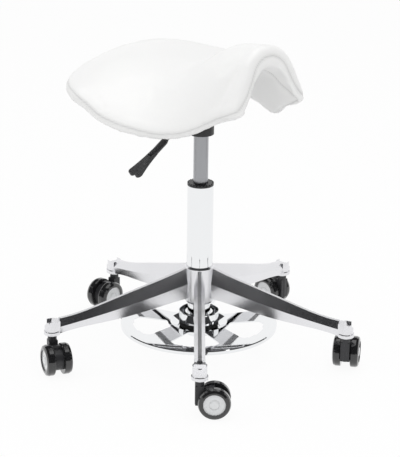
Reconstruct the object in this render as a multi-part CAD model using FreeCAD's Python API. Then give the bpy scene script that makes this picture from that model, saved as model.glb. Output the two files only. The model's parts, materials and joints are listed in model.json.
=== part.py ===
import FreeCAD, Part
import math
import os

# Saddle stool on a five-arm castor base, with a gas column, a foot ring and a tilting saddle seat.
# Millimetres. The origin is on the floor on the column's axis, +X is the front of the saddle,
# +Y is the rider's left and +Z is up.

# Base: a die-cast star of five arms
ARM_COUNT = 5
FRONT_ARM_ANGLE = -42.4
CASTOR_CIRCLE_R = 292.0
HUB_R = 28.5
HUB_TOP = 180.0
HUB_BOTTOM = 106.0
ARM_WALL = 3.5
ARM_WAIST = 20.6
ARM_TOP_FLAT = 7.0
ARM_FOOT_FLAT = 15.0
ARM_RIB = 3.0
ARM_RIB_COUNT = 3
TIP_UNDERSIDE = 71.5
TIP_TOP = 98.0
TIP_R = 13.5
TIP_FOOT_R = 15.6
TIP_FOOT_H = 6.0
TIP_NOSE = 12.0

# Column: outer tube with a tapered seat in the hub, guide bush and collar
TUBE_R = 25.0
TUBE_WALL = 2.0
TUBE_TOP = 341.0
TUBE_TAPER_DEG = 1.4
TUBE_TAIL_R = 22.0
TUBE_BOTTOM = 66.0
TUBE_FLOOR = 4.0
COLLAR_H = 5.0
COLLAR_WALL = 3.0
COLLAR_TEETH = 24
COLLAR_TOOTH_H = 1.8
BUSH_LENGTH = 78.0

# Gas spring: pressure tube above, piston rod below on a thrust bearing
POST_R = 14.0
POST_WALL = 1.8
POST_BOTTOM = 214.0
POST_TOP = 480.0
POST_CONE_LENGTH = 32.0
POST_CONE_DROP = 0.8
POST_END = 8.0
ROD_R = 5.0
ROD_TAIL = 6.0
ROD_SHOULDER_R = 8.0
ROD_SHOULDER_H = 3.0
ROD_TOP = 292.0
PISTON_H = 10.0
PISTON_GAP = 0.1
RACE_H = 1.5
RACE_OUTER_R = 15.0
CAGE_H = 3.2
CAGE_INNER_R = 9.0
CAGE_OUTER_R = 13.5
CLIP_R = 7.5
CLIP_H = 1.2
BUMPER_R = 12.5
BUMPER_H = 12.0
PIN_R = 2.5
PIN_HEAD_R = 4.5
PIN_HEAD_H = 2.7

# Foot ring, its clamp on the tube's tail and the ball it rocks on
CLAMP_R = 38.5
CLAMP_BOTTOM = 65.0
CLAMP_TOP = 87.0
CLAMP_WALL = 2.5
CLAMP_FLOOR = 3.0
CLAMP_BOSS_WALL = 4.5
CLAMP_BOSS_H = 16.0
CLAMP_SCREW_R = 2.5
CLAMP_SCREW_LENGTH = 8.0
CLAMP_SCREW_COUNT = 3
SEAL_R = 38.0
SEAL_WALL = 4.0
SEAL_BOTTOM = 56.5
ROCK_CENTRE = 55.0
ROCK_BALL_R = 14.0
ROCK_BALL_HALF = 8.0
ROCK_NECK_R = 12.0
LINER_WALL = 3.0
LINER_HALF = 6.5
DISH_HUB_WALL = 6.0
DISH_HUB_HALF = 5.0
FOOT_DISH_R = 38.0
FOOT_DISH_TOP = 53.5
FOOT_RIM_TOP = 63.0
FOOT_SHEET = 2.6
FOOT_BEND_R = 56.0
FOOT_RING_R = 151.0
FOOT_RING_INNER_R = 128.0
FOOT_RING_LIP = 5.0
FOOT_GAP_INNER_R = 60.0
FOOT_GAP_HALF_DEG = 24.0
FOOT_GAP_STEP = 3.0
FOOT_GAP_CORNER = 9.0
FOOT_RING_TURN = 4.0
CAP_R = 30.0
CAP_DEPTH = 11.0
CAP_SHEET = 1.5

# Seat mechanism under the saddle
SOCKET_R = 24.0
SOCKET_BOTTOM = 442.0
PAN_BOTTOM = 474.0
PAN_SHEET = 4.0
PAN_REAR = -55.0
PAN_FRONT = 35.0
PAN_HALF_WIDTH = 31.0
CHEEK_TOP = 494.0
CHEEK_SHEET = 4.0
CHEEK_ROUND = 14.0
TILT_X = -10.0
TILT_Z = 486.0
TILT_PIN_R = 5.0
TILT_PIN_HEAD_R = 8.0
TILT_PIN_HEAD_H = 3.0
EAR_GAP = 1.2
EAR_SHEET = 3.5
EAR_R = 12.0
PLATE_TOP = 504.0
PLATE_SHEET = 3.0
PLATE_REAR = -80.0
PLATE_FRONT = 40.0
PLATE_HALF_WIDTH = 58.0
PLATE_CORNER = 10.0
BOLT_EDGE = 12.0
BOLT_R = 3.0
BOLT_HEAD_R = 6.0
BOLT_HEAD_H = 3.5
BOLT_REACH = 14.0
NUT_R = 5.0

# Tilt lever under the rider's right side
LEVER_X = 18.0
LEVER_Z = 485.0
LEVER_R = 4.0
LEVER_PIVOT_Y = -22.0
LEVER_INNER_Y = -12.0
LEVER_BEND_Y = -58.0
LEVER_SLOPE_DEG = 32.7
LEVER_LENGTH = 98.0
LEVER_PIVOT_R = 2.0
LEVER_LUG_SHEET = 2.5
LEVER_SLOT = 8.5
GRIP_START = 60.0
GRIP_NECK_R = 6.5
GRIP_NECK_LENGTH = 40.0
GRIP_END = 150.0
GRIP_HALF_WIDTH = 15.0
GRIP_THICKNESS = 7.0
GRIP_LOBE_R = 8.5
GRIP_BORE_GAP = 0.05

# Saddle: cross-sections from rear to front as (x, half width, ridge height, rim height)
SADDLE_SECTIONS = (
    (-250.0, 213.0, 550.0, 503.0),
    (-200.0, 215.0, 576.0, 520.0),
    (-150.0, 216.0, 588.0, 537.0),
    (-104.0, 216.0, 582.0, 530.0),
    (-50.0, 205.0, 570.0, 504.0),
    (0.0, 179.0, 574.0, 488.0),
    (50.0, 152.0, 606.0, 481.0),
    (100.0, 123.0, 635.0, 493.0),
    (150.0, 97.0, 643.0, 524.0),
    (204.0, 76.0, 632.0, 552.0),
)
CROWN_SHARE_REAR = 0.82
CROWN_SHARE_FRONT = 0.66
SADDLE_REAR = 238.0
SADDLE_FRONT = 174.0
NOSE_LEVEL = 636.0
NOSE_LEAN = 0.19
REAR_CURVE_X = -104.0
REAR_HALF_WIDTH = 214.0
REAR_LEVEL = 530.0
RIM_DRAW = 0.3
RIM_ROUND = 12.0
PAD_DEPTH = 46.0
RIM_DEPTH = 24.0
COVER_THICKNESS = 2.0
PANEL_THICKNESS = 1.4
LAYER_GAP = 0.3
SHELL_THICKNESS = 9.0
SHELL_INSET = 5.0
BAND_WIDTH = 26.0
BOSS_R = 13.0

# Twin-wheel castors
WHEEL_R = 30.0
WHEEL_WIDTH = 16.0
WHEEL_ROUND = 6.0
SHOULDER_STEPS = 2
WHEEL_GAP = 0.5
DISC_R = 20.5
DISC_RECESS = 2.2
CAP_DOME_R = 10.0
CAP_DOME_H = 2.6
AXLE_R = 3.0
TRAIL = 27.0
HOUSING_WIDTH = 17.0
HOUSING_R = 21.0
STEM_BOSS_R = 8.5
STEM_BOSS_TOP = 67.5
STEM_R = 5.5
STEM_FLANGE_R = 8.0
STEM_LENGTH = 20.0
STEM_DEPTH = 34.0
# Direction that each castor trails in, one per arm, counted from the front arm
CASTOR_HEADINGS = (47.0, 127.0, 182.0, 275.0, 338.0)

# Clearances
RUN = 0.05
SEAT_FIT = 0.02


def point(x, y, z):
    return FreeCAD.Vector(x, y, z)


X_AXIS = point(1, 0, 0)
Y_AXIS = point(0, 1, 0)
Z_AXIS = point(0, 0, 1)


def cylinder(radius, bottom, top, x=0.0, y=0.0):
    """Upright cylinder between two heights."""
    return Part.makeCylinder(radius, top - bottom, point(x, y, bottom))


def tube(outer, inner, bottom, top, x=0.0, y=0.0):
    """Upright ring between two heights."""
    return cylinder(outer, bottom, top, x, y).cut(cylinder(inner, bottom - 1, top + 1, x, y))


def turned(profile):
    """Solid of revolution about Z from (radius, height) corners."""
    corners = [point(r, 0, z) for r, z in profile]
    face = Part.Face(Part.makePolygon(corners + corners[:1]))
    return face.revolve(point(0, 0, 0), Z_AXIS, 360)


def block(x0, x1, y0, y1, z0, z1):
    """Box between two corners."""
    return Part.makeBox(x1 - x0, y1 - y0, z1 - z0, point(x0, y0, z0))


def rotated(shape, degrees, x=0.0, y=0.0):
    """Copy of a shape turned about an upright line."""
    copy = shape.copy()
    copy.rotate(point(x, y, 0), Z_AXIS, degrees)
    return copy


def ring_of(shape, count, start=0.0):
    """Copies of a shape spread evenly round the column."""
    return [rotated(shape, start + 360.0 * i / count) for i in range(count)]


def save(name, solids):
    """Write one sub-part, or a group of like solids, as its own file."""
    group = solids if isinstance(solids, list) else [solids]
    shape = group[0] if len(group) == 1 else Part.makeCompound(group)
    shape.exportStep(os.path.join("parts", name + ".step"))


# Star base

def arm_section(r, bottom, top, shrink=0.0, drop=0.0):
    """Six-sided arm section at a distance from the column: flat top, waist and flat foot."""
    waist = (bottom + top) / 2
    half_top = ARM_TOP_FLAT / 2 - shrink / 2
    half_waist = ARM_WAIST / 2 - shrink
    half_foot = ARM_FOOT_FLAT / 2 - shrink
    z_top = top - shrink
    z_foot = bottom - drop
    corners = [
        point(r, -half_top, z_top), point(r, half_top, z_top), point(r, half_waist, waist),
        point(r, half_foot, z_foot), point(r, -half_foot, z_foot), point(r, -half_waist, waist),
    ]
    return Part.makePolygon(corners + corners[:1])


def arm_lines():
    """Stations along one arm as (distance, underside, top), from inside the hub to the tip."""
    tip_r = CASTOR_CIRCLE_R - TIP_R
    reach = tip_r - HUB_R
    hub_top = HUB_TOP - 3.0
    tip_top = TIP_TOP + 4.0
    tip_bottom = TIP_UNDERSIDE + 1.5
    hub_bottom = HUB_BOTTOM + 8.0
    stations = []
    for share, sag_top, sag_bottom in ((-0.05, 0, 0), (0.22, -4.5, -1), (0.48, -5, -3), (0.74, -6, 0), (1, 0, 0)):
        r = HUB_R + share * reach
        top = hub_top + (tip_top - hub_top) * share + sag_top
        bottom = hub_bottom + (tip_bottom - hub_bottom) * share + sag_bottom
        stations.append((r, bottom, top))
    return stations


def star_arm():
    """One arm, hollow from below and ribbed across, with its castor socket."""
    stations = arm_lines()
    outer = Part.makeLoft([arm_section(*s) for s in stations], True, False)
    hollow = Part.makeLoft([arm_section(*s, shrink=ARM_WALL, drop=2.0) for s in stations], True, False)
    hollow = hollow.cut(cylinder(HUB_R + ARM_WALL, 0, HUB_TOP))
    hollow = hollow.cut(cylinder(TIP_R + ARM_WALL, 0, HUB_TOP, CASTOR_CIRCLE_R))
    first, last = HUB_R, CASTOR_CIRCLE_R - TIP_R
    for i in range(ARM_RIB_COUNT):
        r = first + (last - first) * (i + 1) / (ARM_RIB_COUNT + 1)
        hollow = hollow.cut(block(r - ARM_RIB / 2, r + ARM_RIB / 2, -ARM_WAIST, ARM_WAIST, 0, HUB_TOP))
    tip = cylinder(TIP_R, TIP_UNDERSIDE, TIP_TOP, CASTOR_CIRCLE_R)
    foot = cylinder(TIP_FOOT_R, TIP_UNDERSIDE, TIP_UNDERSIDE + TIP_FOOT_H, CASTOR_CIRCLE_R)
    nose = block(CASTOR_CIRCLE_R - TIP_R, CASTOR_CIRCLE_R + TIP_NOSE, -ARM_WAIST / 2, ARM_WAIST / 2,
                 TIP_UNDERSIDE + TIP_FOOT_H, TIP_TOP)
    slope = Part.makeBox(40, ARM_WAIST + 2, 40, point(0, -ARM_WAIST / 2 - 1, 0))
    slope.rotate(point(0, 0, 0), Y_AXIS, 40)
    slope.translate(point(CASTOR_CIRCLE_R - 4, 0, TIP_TOP + 1))
    nose = nose.cut(slope)
    tip = tip.cut(slope)
    socket = cylinder(STEM_R + RUN, TIP_UNDERSIDE - 1, TIP_UNDERSIDE + STEM_LENGTH + 1, CASTOR_CIRCLE_R)
    return outer.cut(hollow).fuse([tip, foot, nose]).cut(socket)


def tube_seat_radius(z, gap=0.0):
    """Outside radius of the column tube within the hub's tapered seat."""
    depth = HUB_TOP - z
    return TUBE_R - depth * math.tan(math.radians(TUBE_TAPER_DEG)) + gap


def star_base():
    hub = turned([
        (0, HUB_BOTTOM), (HUB_R - 3, HUB_BOTTOM), (HUB_R, HUB_BOTTOM + 4),
        (HUB_R, HUB_TOP - 3), (HUB_R - 1.5, HUB_TOP), (0, HUB_TOP),
    ])
    arms = ring_of(star_arm(), ARM_COUNT, FRONT_ARM_ANGLE)
    seat = turned([
        (0, HUB_BOTTOM - 1), (tube_seat_radius(HUB_BOTTOM - 1, SEAT_FIT), HUB_BOTTOM - 1),
        (tube_seat_radius(HUB_TOP + 1, SEAT_FIT), HUB_TOP + 1), (0, HUB_TOP + 1),
    ])
    return hub.fuse(arms).cut(seat).removeSplitter()


# Column

def outer_tube():
    """Drawn tube: straight above the hub, tapered in it, with a narrower tail and a floor."""
    neck = HUB_BOTTOM - 2.0
    bore = TUBE_R - TUBE_WALL
    tail_bore = TUBE_TAIL_R - TUBE_WALL
    floor = TUBE_BOTTOM + TUBE_FLOOR
    hole = ROD_R + 0.5
    return turned([
        (hole, TUBE_BOTTOM), (TUBE_TAIL_R, TUBE_BOTTOM), (TUBE_TAIL_R, neck),
        (tube_seat_radius(neck), HUB_BOTTOM), (TUBE_R, HUB_TOP), (TUBE_R, TUBE_TOP),
        (bore, TUBE_TOP), (bore, HUB_TOP), (tail_bore, HUB_BOTTOM), (tail_bore, floor), (hole, floor),
    ])


def column_collar():
    """Thin collar on the tube's mouth with a crown of small teeth."""
    bore = POST_R + 0.4
    ring = tube(TUBE_R, bore, TUBE_TOP, TUBE_TOP + COLLAR_H - COLLAR_TOOTH_H)
    notch = block(TUBE_R - COLLAR_WALL, TUBE_R + 1, -1.4, 1.4,
                  TUBE_TOP + COLLAR_H - COLLAR_TOOTH_H, TUBE_TOP + COLLAR_H + 1)
    crown = tube(TUBE_R, bore, TUBE_TOP + COLLAR_H - COLLAR_TOOTH_H, TUBE_TOP + COLLAR_H)
    for cutter in ring_of(notch, COLLAR_TEETH):
        crown = crown.cut(cutter)
    return ring.fuse(crown).removeSplitter()


def guide_bush():
    """Plastic sleeve that guides the pressure tube inside the outer tube."""
    return tube(TUBE_R - TUBE_WALL, POST_R + RUN, TUBE_TOP - BUSH_LENGTH, TUBE_TOP)


# Gas spring

BEARING_BOTTOM = TUBE_BOTTOM + TUBE_FLOOR + RUN
BEARING_TOP = BEARING_BOTTOM + 2 * RACE_H + CAGE_H
SHOULDER_TOP = BEARING_TOP + ROD_SHOULDER_H


def thrust_bearing():
    """Two races with the cage that holds the balls between them, under the rod's shoulder."""
    lower = tube(RACE_OUTER_R, ROD_R + RUN, BEARING_BOTTOM, BEARING_BOTTOM + RACE_H)
    upper = tube(RACE_OUTER_R, ROD_R + RUN, BEARING_TOP - RACE_H, BEARING_TOP)
    cage = tube(CAGE_OUTER_R, CAGE_INNER_R, BEARING_BOTTOM + RACE_H, BEARING_TOP - RACE_H)
    return [lower, cage, upper]


def piston_rod():
    """Hollow rod with its shoulder on the bearing and its piston in the pressure tube."""
    bore = PIN_R + RUN
    tail = TUBE_BOTTOM - ROD_TAIL
    piston_r = POST_R - POST_WALL - PISTON_GAP
    return turned([
        (bore, tail), (ROD_R, tail), (ROD_R, BEARING_TOP), (ROD_SHOULDER_R, BEARING_TOP),
        (ROD_SHOULDER_R, SHOULDER_TOP), (ROD_R, SHOULDER_TOP), (ROD_R, ROD_TOP - PISTON_H),
        (piston_r, ROD_TOP - PISTON_H), (piston_r, ROD_TOP), (bore, ROD_TOP),
    ])


def rod_clip():
    """Spring clip that holds the rod under the tube's floor."""
    top = TUBE_BOTTOM - 0.2
    ring = tube(CLIP_R, ROD_R, top - CLIP_H, top)
    return ring.cut(block(0, CLIP_R + 1, -2.5, 2.5, top - CLIP_H - 1, top + 1))


def rod_bumper():
    """Rubber stop on the rod for the lowest seat height."""
    return turned([
        (ROD_R + RUN, SHOULDER_TOP), (BUMPER_R, SHOULDER_TOP),
        (BUMPER_R, SHOULDER_TOP + BUMPER_H - 3), (BUMPER_R - 3, SHOULDER_TOP + BUMPER_H),
        (ROD_R + RUN, SHOULDER_TOP + BUMPER_H),
    ])


PIN_HEAD_BOTTOM = FOOT_DISH_TOP - FOOT_SHEET - CAP_DEPTH + CAP_SHEET + LAYER_GAP


def release_pin():
    """Long pin through the hollow rod, with the button that the foot ring's cap presses."""
    head_top = PIN_HEAD_BOTTOM + PIN_HEAD_H
    return turned([
        (0, PIN_HEAD_BOTTOM), (PIN_HEAD_R, PIN_HEAD_BOTTOM), (PIN_HEAD_R, head_top),
        (PIN_R, head_top), (PIN_R, ROD_TOP), (0, ROD_TOP),
    ])


def gas_cylinder():
    """Pressure tube with closed ends and a tapered top that wedges in the seat socket."""
    bore = POST_R - POST_WALL
    cone = POST_TOP - POST_CONE_LENGTH
    hole = ROD_R + RUN
    return turned([
        (hole, POST_BOTTOM), (POST_R - 1, POST_BOTTOM), (POST_R, POST_BOTTOM + 1), (POST_R, cone),
        (POST_R - POST_CONE_DROP, POST_TOP), (0, POST_TOP), (0, cone - POST_END), (bore, cone - POST_END),
        (bore, POST_BOTTOM + POST_END), (hole, POST_BOTTOM + POST_END),
    ])


# Foot ring

def foot_clamp():
    """Pressed cup whose boss grips the tail of the column tube."""
    boss_r = TUBE_TAIL_R + SEAT_FIT
    floor = CLAMP_BOTTOM + CLAMP_FLOOR
    cup = turned([
        (boss_r, CLAMP_BOTTOM), (CLAMP_R - 2, CLAMP_BOTTOM), (CLAMP_R, CLAMP_BOTTOM + 2),
        (CLAMP_R, CLAMP_TOP - 1), (CLAMP_R - 1, CLAMP_TOP), (CLAMP_R - CLAMP_WALL, CLAMP_TOP),
        (CLAMP_R - CLAMP_WALL, floor), (boss_r + CLAMP_BOSS_WALL, floor),
        (boss_r + CLAMP_BOSS_WALL, floor + CLAMP_BOSS_H), (boss_r, floor + CLAMP_BOSS_H),
    ])
    return cup.cut(clamp_screws(RUN))


def clamp_screws(gap=0.0):
    """Grub screws round the boss, or their holes with a gap."""
    return ring_of(clamp_screw(gap), CLAMP_SCREW_COUNT)


def clamp_screw(gap):
    """Grub screw that bites on the tube's tail."""
    z = CLAMP_BOTTOM + CLAMP_FLOOR + CLAMP_BOSS_H / 2
    start = point(TUBE_TAIL_R - 2 * gap, 0, z)
    return Part.makeCylinder(CLAMP_SCREW_R + gap, CLAMP_SCREW_LENGTH + 4 * gap, start, X_AXIS)


def seal_ring():
    """Black ring under the clamp that hides the ball joint."""
    return turned([
        (SEAL_R - SEAL_WALL, SEAL_BOTTOM), (SEAL_R - 1, SEAL_BOTTOM), (SEAL_R, SEAL_BOTTOM + 1),
        (SEAL_R, CLAMP_BOTTOM), (SEAL_R - SEAL_WALL, CLAMP_BOTTOM),
    ])


def ball_zone(radius, half):
    """Slice of a ball round the rocking centre, of a given half height."""
    ball = Part.makeSphere(radius, point(0, 0, ROCK_CENTRE))
    side = 2 * radius
    return ball.common(block(-side, side, -side, side, ROCK_CENTRE - half, ROCK_CENTRE + half))


def pivot_ball():
    """Ball on a hollow neck under the tube's floor, which the foot ring rocks on."""
    hollow = CLIP_R + 0.5
    body = ball_zone(ROCK_BALL_R, ROCK_BALL_HALF).fuse(cylinder(ROCK_NECK_R, ROCK_CENTRE, TUBE_BOTTOM))
    body = body.cut(cylinder(hollow, ROCK_CENTRE + ROCK_BALL_HALF - 4, TUBE_BOTTOM + 1))
    return body.cut(cylinder(PIN_R + 0.3, 0, TUBE_BOTTOM)).removeSplitter()


def pivot_liner():
    """Plastic liner between the ball and the foot ring's hub, with cones that touch both of them."""
    half_turn = math.asin(LINER_HALF / (ROCK_BALL_R + LINER_WALL)) / 1.5
    inside = []
    outside = []
    for step in (-1.5, -0.5, 0.5, 1.5):
        angle = step * half_turn
        reach = (ROCK_BALL_R + RUN) / math.cos(half_turn / 2)
        inside.append((reach * math.cos(angle), ROCK_CENTRE + reach * math.sin(angle)))
        reach = ROCK_BALL_R + LINER_WALL
        outside.append((reach * math.cos(angle), ROCK_CENTRE + reach * math.sin(angle)))
    return turned(inside + outside[::-1])


def foot_gap():
    """One petal-shaped opening with a stepped outer edge and rounded corners."""
    inner, outer = FOOT_GAP_INNER_R, FOOT_RING_INNER_R - 2 * FOOT_GAP_STEP
    half = math.radians(FOOT_GAP_HALF_DEG)
    low, high = FOOT_DISH_TOP - 20, FOOT_RIM_TOP + 20

    def at(r, a):
        return point(r * math.cos(a), r * math.sin(a), low)

    narrow = half * 0.62
    outline = Part.Wire([
        Part.makeLine(at(inner, -narrow), at(outer, -half)),
        Part.Arc(at(outer, -half), at(outer, 0), at(outer, half)).toShape(),
        Part.makeLine(at(outer, half), at(inner, narrow)),
        Part.Arc(at(inner, narrow), at(inner, 0), at(inner, -narrow)).toShape(),
    ])
    gap = Part.Face(outline).extrude(point(0, 0, high - low))
    upright = [e for e in gap.Edges if abs(e.Vertexes[0].Z - e.Vertexes[-1].Z) > 1]
    gap = gap.makeFillet(FOOT_GAP_CORNER, upright)
    scallops = []
    for step in (1, 2):
        wedge_half = half * (0.78 - 0.36 * (step - 1))
        r = outer + step * FOOT_GAP_STEP
        wedge = Part.makeCylinder(r, high - low, point(0, 0, low), Z_AXIS, math.degrees(2 * wedge_half))
        wedge.rotate(point(0, 0, 0), Z_AXIS, -math.degrees(wedge_half))
        scallops.append(wedge.cut(cylinder(outer - FOOT_GAP_CORNER, low - 1, high + 1)))
    return gap.fuse(scallops)


def foot_ring():
    """Pressed plate: hub on the liner, dished centre, five spokes and a ring with a turned-down lip."""
    hub_r = ROCK_BALL_R + LINER_WALL + DISH_HUB_WALL
    under = FOOT_DISH_TOP - FOOT_SHEET
    plate = turned([
        (hub_r - 2, under), (FOOT_DISH_R + 2, under), (FOOT_BEND_R, FOOT_RIM_TOP - FOOT_SHEET),
        (FOOT_RING_R - FOOT_SHEET, FOOT_RIM_TOP - FOOT_SHEET),
        (FOOT_RING_R - FOOT_SHEET, FOOT_RIM_TOP - FOOT_SHEET - FOOT_RING_LIP),
        (FOOT_RING_R, FOOT_RIM_TOP - FOOT_SHEET - FOOT_RING_LIP),
        (FOOT_RING_R, FOOT_RIM_TOP - 1.5), (FOOT_RING_R - 1.5, FOOT_RIM_TOP),
        (FOOT_BEND_R - 1, FOOT_RIM_TOP), (FOOT_DISH_R + 1, FOOT_DISH_TOP), (hub_r - 2, FOOT_DISH_TOP),
    ])
    for gap in ring_of(foot_gap(), ARM_COUNT, FRONT_ARM_ANGLE - FOOT_RING_TURN):
        plate = plate.cut(gap)
    hub = tube(hub_r, ROCK_BALL_R, ROCK_CENTRE - DISH_HUB_HALF, ROCK_CENTRE + DISH_HUB_HALF)
    socket = Part.makeSphere(ROCK_BALL_R + LINER_WALL + RUN, point(0, 0, ROCK_CENTRE))
    return plate.fuse(hub.cut(socket)).removeSplitter()


def push_cap():
    """Cap under the dish that presses the release pin when the ring rocks."""
    top = FOOT_DISH_TOP - FOOT_SHEET
    bottom = top - CAP_DEPTH
    return turned([
        (0, bottom), (CAP_R - 4, bottom), (CAP_R, bottom + 4), (CAP_R, top - CAP_SHEET),
        (CAP_R + 4, top - CAP_SHEET), (CAP_R + 4, top), (CAP_R - CAP_SHEET, top),
        (CAP_R - CAP_SHEET, bottom + 4.6), (CAP_R - 4.6, bottom + CAP_SHEET), (0, bottom + CAP_SHEET),
    ])


# Seat mechanism

def rounded_plate(x0, x1, half_width, z0, z1, corner):
    """Flat plate with rounded upright corners."""
    plate = block(x0, x1, -half_width, half_width, z0, z1)
    upright = [e for e in plate.Edges if abs(e.Vertexes[0].Z - e.Vertexes[1].Z) > 0.1]
    return plate.makeFillet(corner, upright)


def cross_hole(x, z, radius, reach):
    """Hole along Y through both sides of the mechanism."""
    return Part.makeCylinder(radius, 2 * reach, point(x, -reach, z), Y_AXIS)


def tilt_bracket():
    """Welded channel on a tapered socket, with two cheeks for the tilt pin and lugs for the lever."""
    cone = POST_TOP - POST_CONE_LENGTH
    socket = turned([
        (POST_R + SEAT_FIT, SOCKET_BOTTOM), (SOCKET_R, SOCKET_BOTTOM), (SOCKET_R, PAN_BOTTOM),
        (0, PAN_BOTTOM), (0, PAN_BOTTOM - 1), (POST_R, PAN_BOTTOM - 1),
    ])
    pan = rounded_plate(PAN_REAR, PAN_FRONT, PAN_HALF_WIDTH, PAN_BOTTOM, PAN_BOTTOM + PAN_SHEET, 6)
    cheek = block(PAN_REAR + 12, PAN_FRONT, PAN_HALF_WIDTH - CHEEK_SHEET, PAN_HALF_WIDTH, PAN_BOTTOM, CHEEK_TOP)
    sloped = [e for e in cheek.Edges
              if abs(e.Vertexes[0].Y - e.Vertexes[1].Y) > 0.1 and e.CenterOfMass.z > CHEEK_TOP - 0.1]
    cheek = cheek.makeFillet(CHEEK_ROUND, sloped)
    other = cheek.mirror(point(0, 0, 0), Y_AXIS)
    slot = block(LEVER_X - LEVER_R - 1, LEVER_X + LEVER_R + 1, -PAN_HALF_WIDTH - 1, -PAN_HALF_WIDTH + CHEEK_SHEET + 1,
                 LEVER_Z - LEVER_SLOT + 1, CHEEK_TOP + 1)
    lugs = []
    for side in (-1, 1):
        x = LEVER_X + side * (LEVER_R + 1.0 + LEVER_LUG_SHEET / 2)
        lug = block(x - LEVER_LUG_SHEET / 2, x + LEVER_LUG_SHEET / 2, LEVER_PIVOT_Y - 4.5, LEVER_PIVOT_Y + 4.5,
                    PAN_BOTTOM + PAN_SHEET, LEVER_Z + 5)
        lugs.append(lug)
    body = socket.fuse([pan, cheek, other] + lugs).cut(slot)
    body = body.cut(cross_hole(TILT_X, TILT_Z, TILT_PIN_R + RUN, 2 * PAN_HALF_WIDTH))
    pivot = Part.makeCylinder(LEVER_PIVOT_R + RUN, 40, point(LEVER_X - 20, LEVER_PIVOT_Y, LEVER_Z), X_AXIS)
    wedge = turned([
        (0, cone), (POST_R + SEAT_FIT, cone), (POST_R - POST_CONE_DROP + SEAT_FIT, POST_TOP), (0, POST_TOP),
    ])
    return body.cut(pivot).cut(wedge).cut(cylinder(POST_R + SEAT_FIT, SOCKET_BOTTOM - 1, cone)).removeSplitter()


def tilt_pin():
    """Headed pin through the cheeks and the plate's ears."""
    reach = PAN_HALF_WIDTH + EAR_GAP + EAR_SHEET
    pin = cross_hole(TILT_X, TILT_Z, TILT_PIN_R, reach + 0.5)
    head = Part.makeCylinder(TILT_PIN_HEAD_R, TILT_PIN_HEAD_H, point(TILT_X, reach + 0.5, TILT_Z), Y_AXIS)
    ring = Part.makeCylinder(TILT_PIN_HEAD_R - 1, 1.5, point(TILT_X, -reach - 2.0, TILT_Z), Y_AXIS)
    return pin.fuse([head, ring]).removeSplitter()


def bolt_places():
    """Centres of the four seat bolts in the seat plate."""
    xs = (PLATE_REAR + BOLT_EDGE, PLATE_FRONT - BOLT_EDGE)
    y = PLATE_HALF_WIDTH - BOLT_EDGE
    return [(x, side * y) for x in xs for side in (-1, 1)]


def seat_plate():
    """Pressed plate with two ears that hang on the tilt pin."""
    bottom = PLATE_TOP - PLATE_SHEET
    plate = rounded_plate(PLATE_REAR, PLATE_FRONT, PLATE_HALF_WIDTH, bottom, PLATE_TOP, PLATE_CORNER)
    near = PAN_HALF_WIDTH + EAR_GAP
    ears = []
    for y in (near, -near - EAR_SHEET):
        web = block(TILT_X - EAR_R, TILT_X + EAR_R, y, y + EAR_SHEET, TILT_Z, PLATE_TOP - PLATE_SHEET / 2)
        eye = Part.makeCylinder(EAR_R, EAR_SHEET, point(TILT_X, y, TILT_Z), Y_AXIS)
        ears += [web, eye]
    body = plate.fuse(ears).cut(cross_hole(TILT_X, TILT_Z, TILT_PIN_R + RUN, 2 * PAN_HALF_WIDTH))
    for x, y in bolt_places():
        body = body.cut(cylinder(BOLT_R + 0.3, bottom - 1, PLATE_TOP + 1, x, y))
    return body.removeSplitter()


# Tilt lever

def along_lever(distance, across=0.0, rise=0.0):
    """Point on the sloping part of the lever, counted from the bend."""
    slope = math.radians(LEVER_SLOPE_DEG)
    y = LEVER_BEND_Y - distance * math.cos(slope) - rise * math.sin(slope)
    z = LEVER_Z - distance * math.sin(slope) + rise * math.cos(slope)
    return point(LEVER_X + across, y, z)


def lever_rod():
    """Bent round rod on its pivot."""
    inner = point(LEVER_X, LEVER_INNER_Y, LEVER_Z)
    bend = along_lever(0)
    flat = Part.makeCylinder(LEVER_R, LEVER_INNER_Y - LEVER_BEND_Y, inner, -Y_AXIS)
    knee = Part.makeSphere(LEVER_R, bend)
    slope = Part.makeCylinder(LEVER_R, LEVER_LENGTH, bend, along_lever(1) - bend)
    hole = Part.makeCylinder(LEVER_PIVOT_R + RUN, 20, point(LEVER_X - 10, LEVER_PIVOT_Y, LEVER_Z), X_AXIS)
    return flat.fuse([knee, slope]).cut(hole).removeSplitter()


def lever_pivot():
    """Small pin between the lugs."""
    reach = LEVER_R + 1.0 + LEVER_LUG_SHEET + 0.6
    return Part.makeCylinder(LEVER_PIVOT_R, 2 * reach, point(LEVER_X - reach, LEVER_PIVOT_Y, LEVER_Z), X_AXIS)


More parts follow.
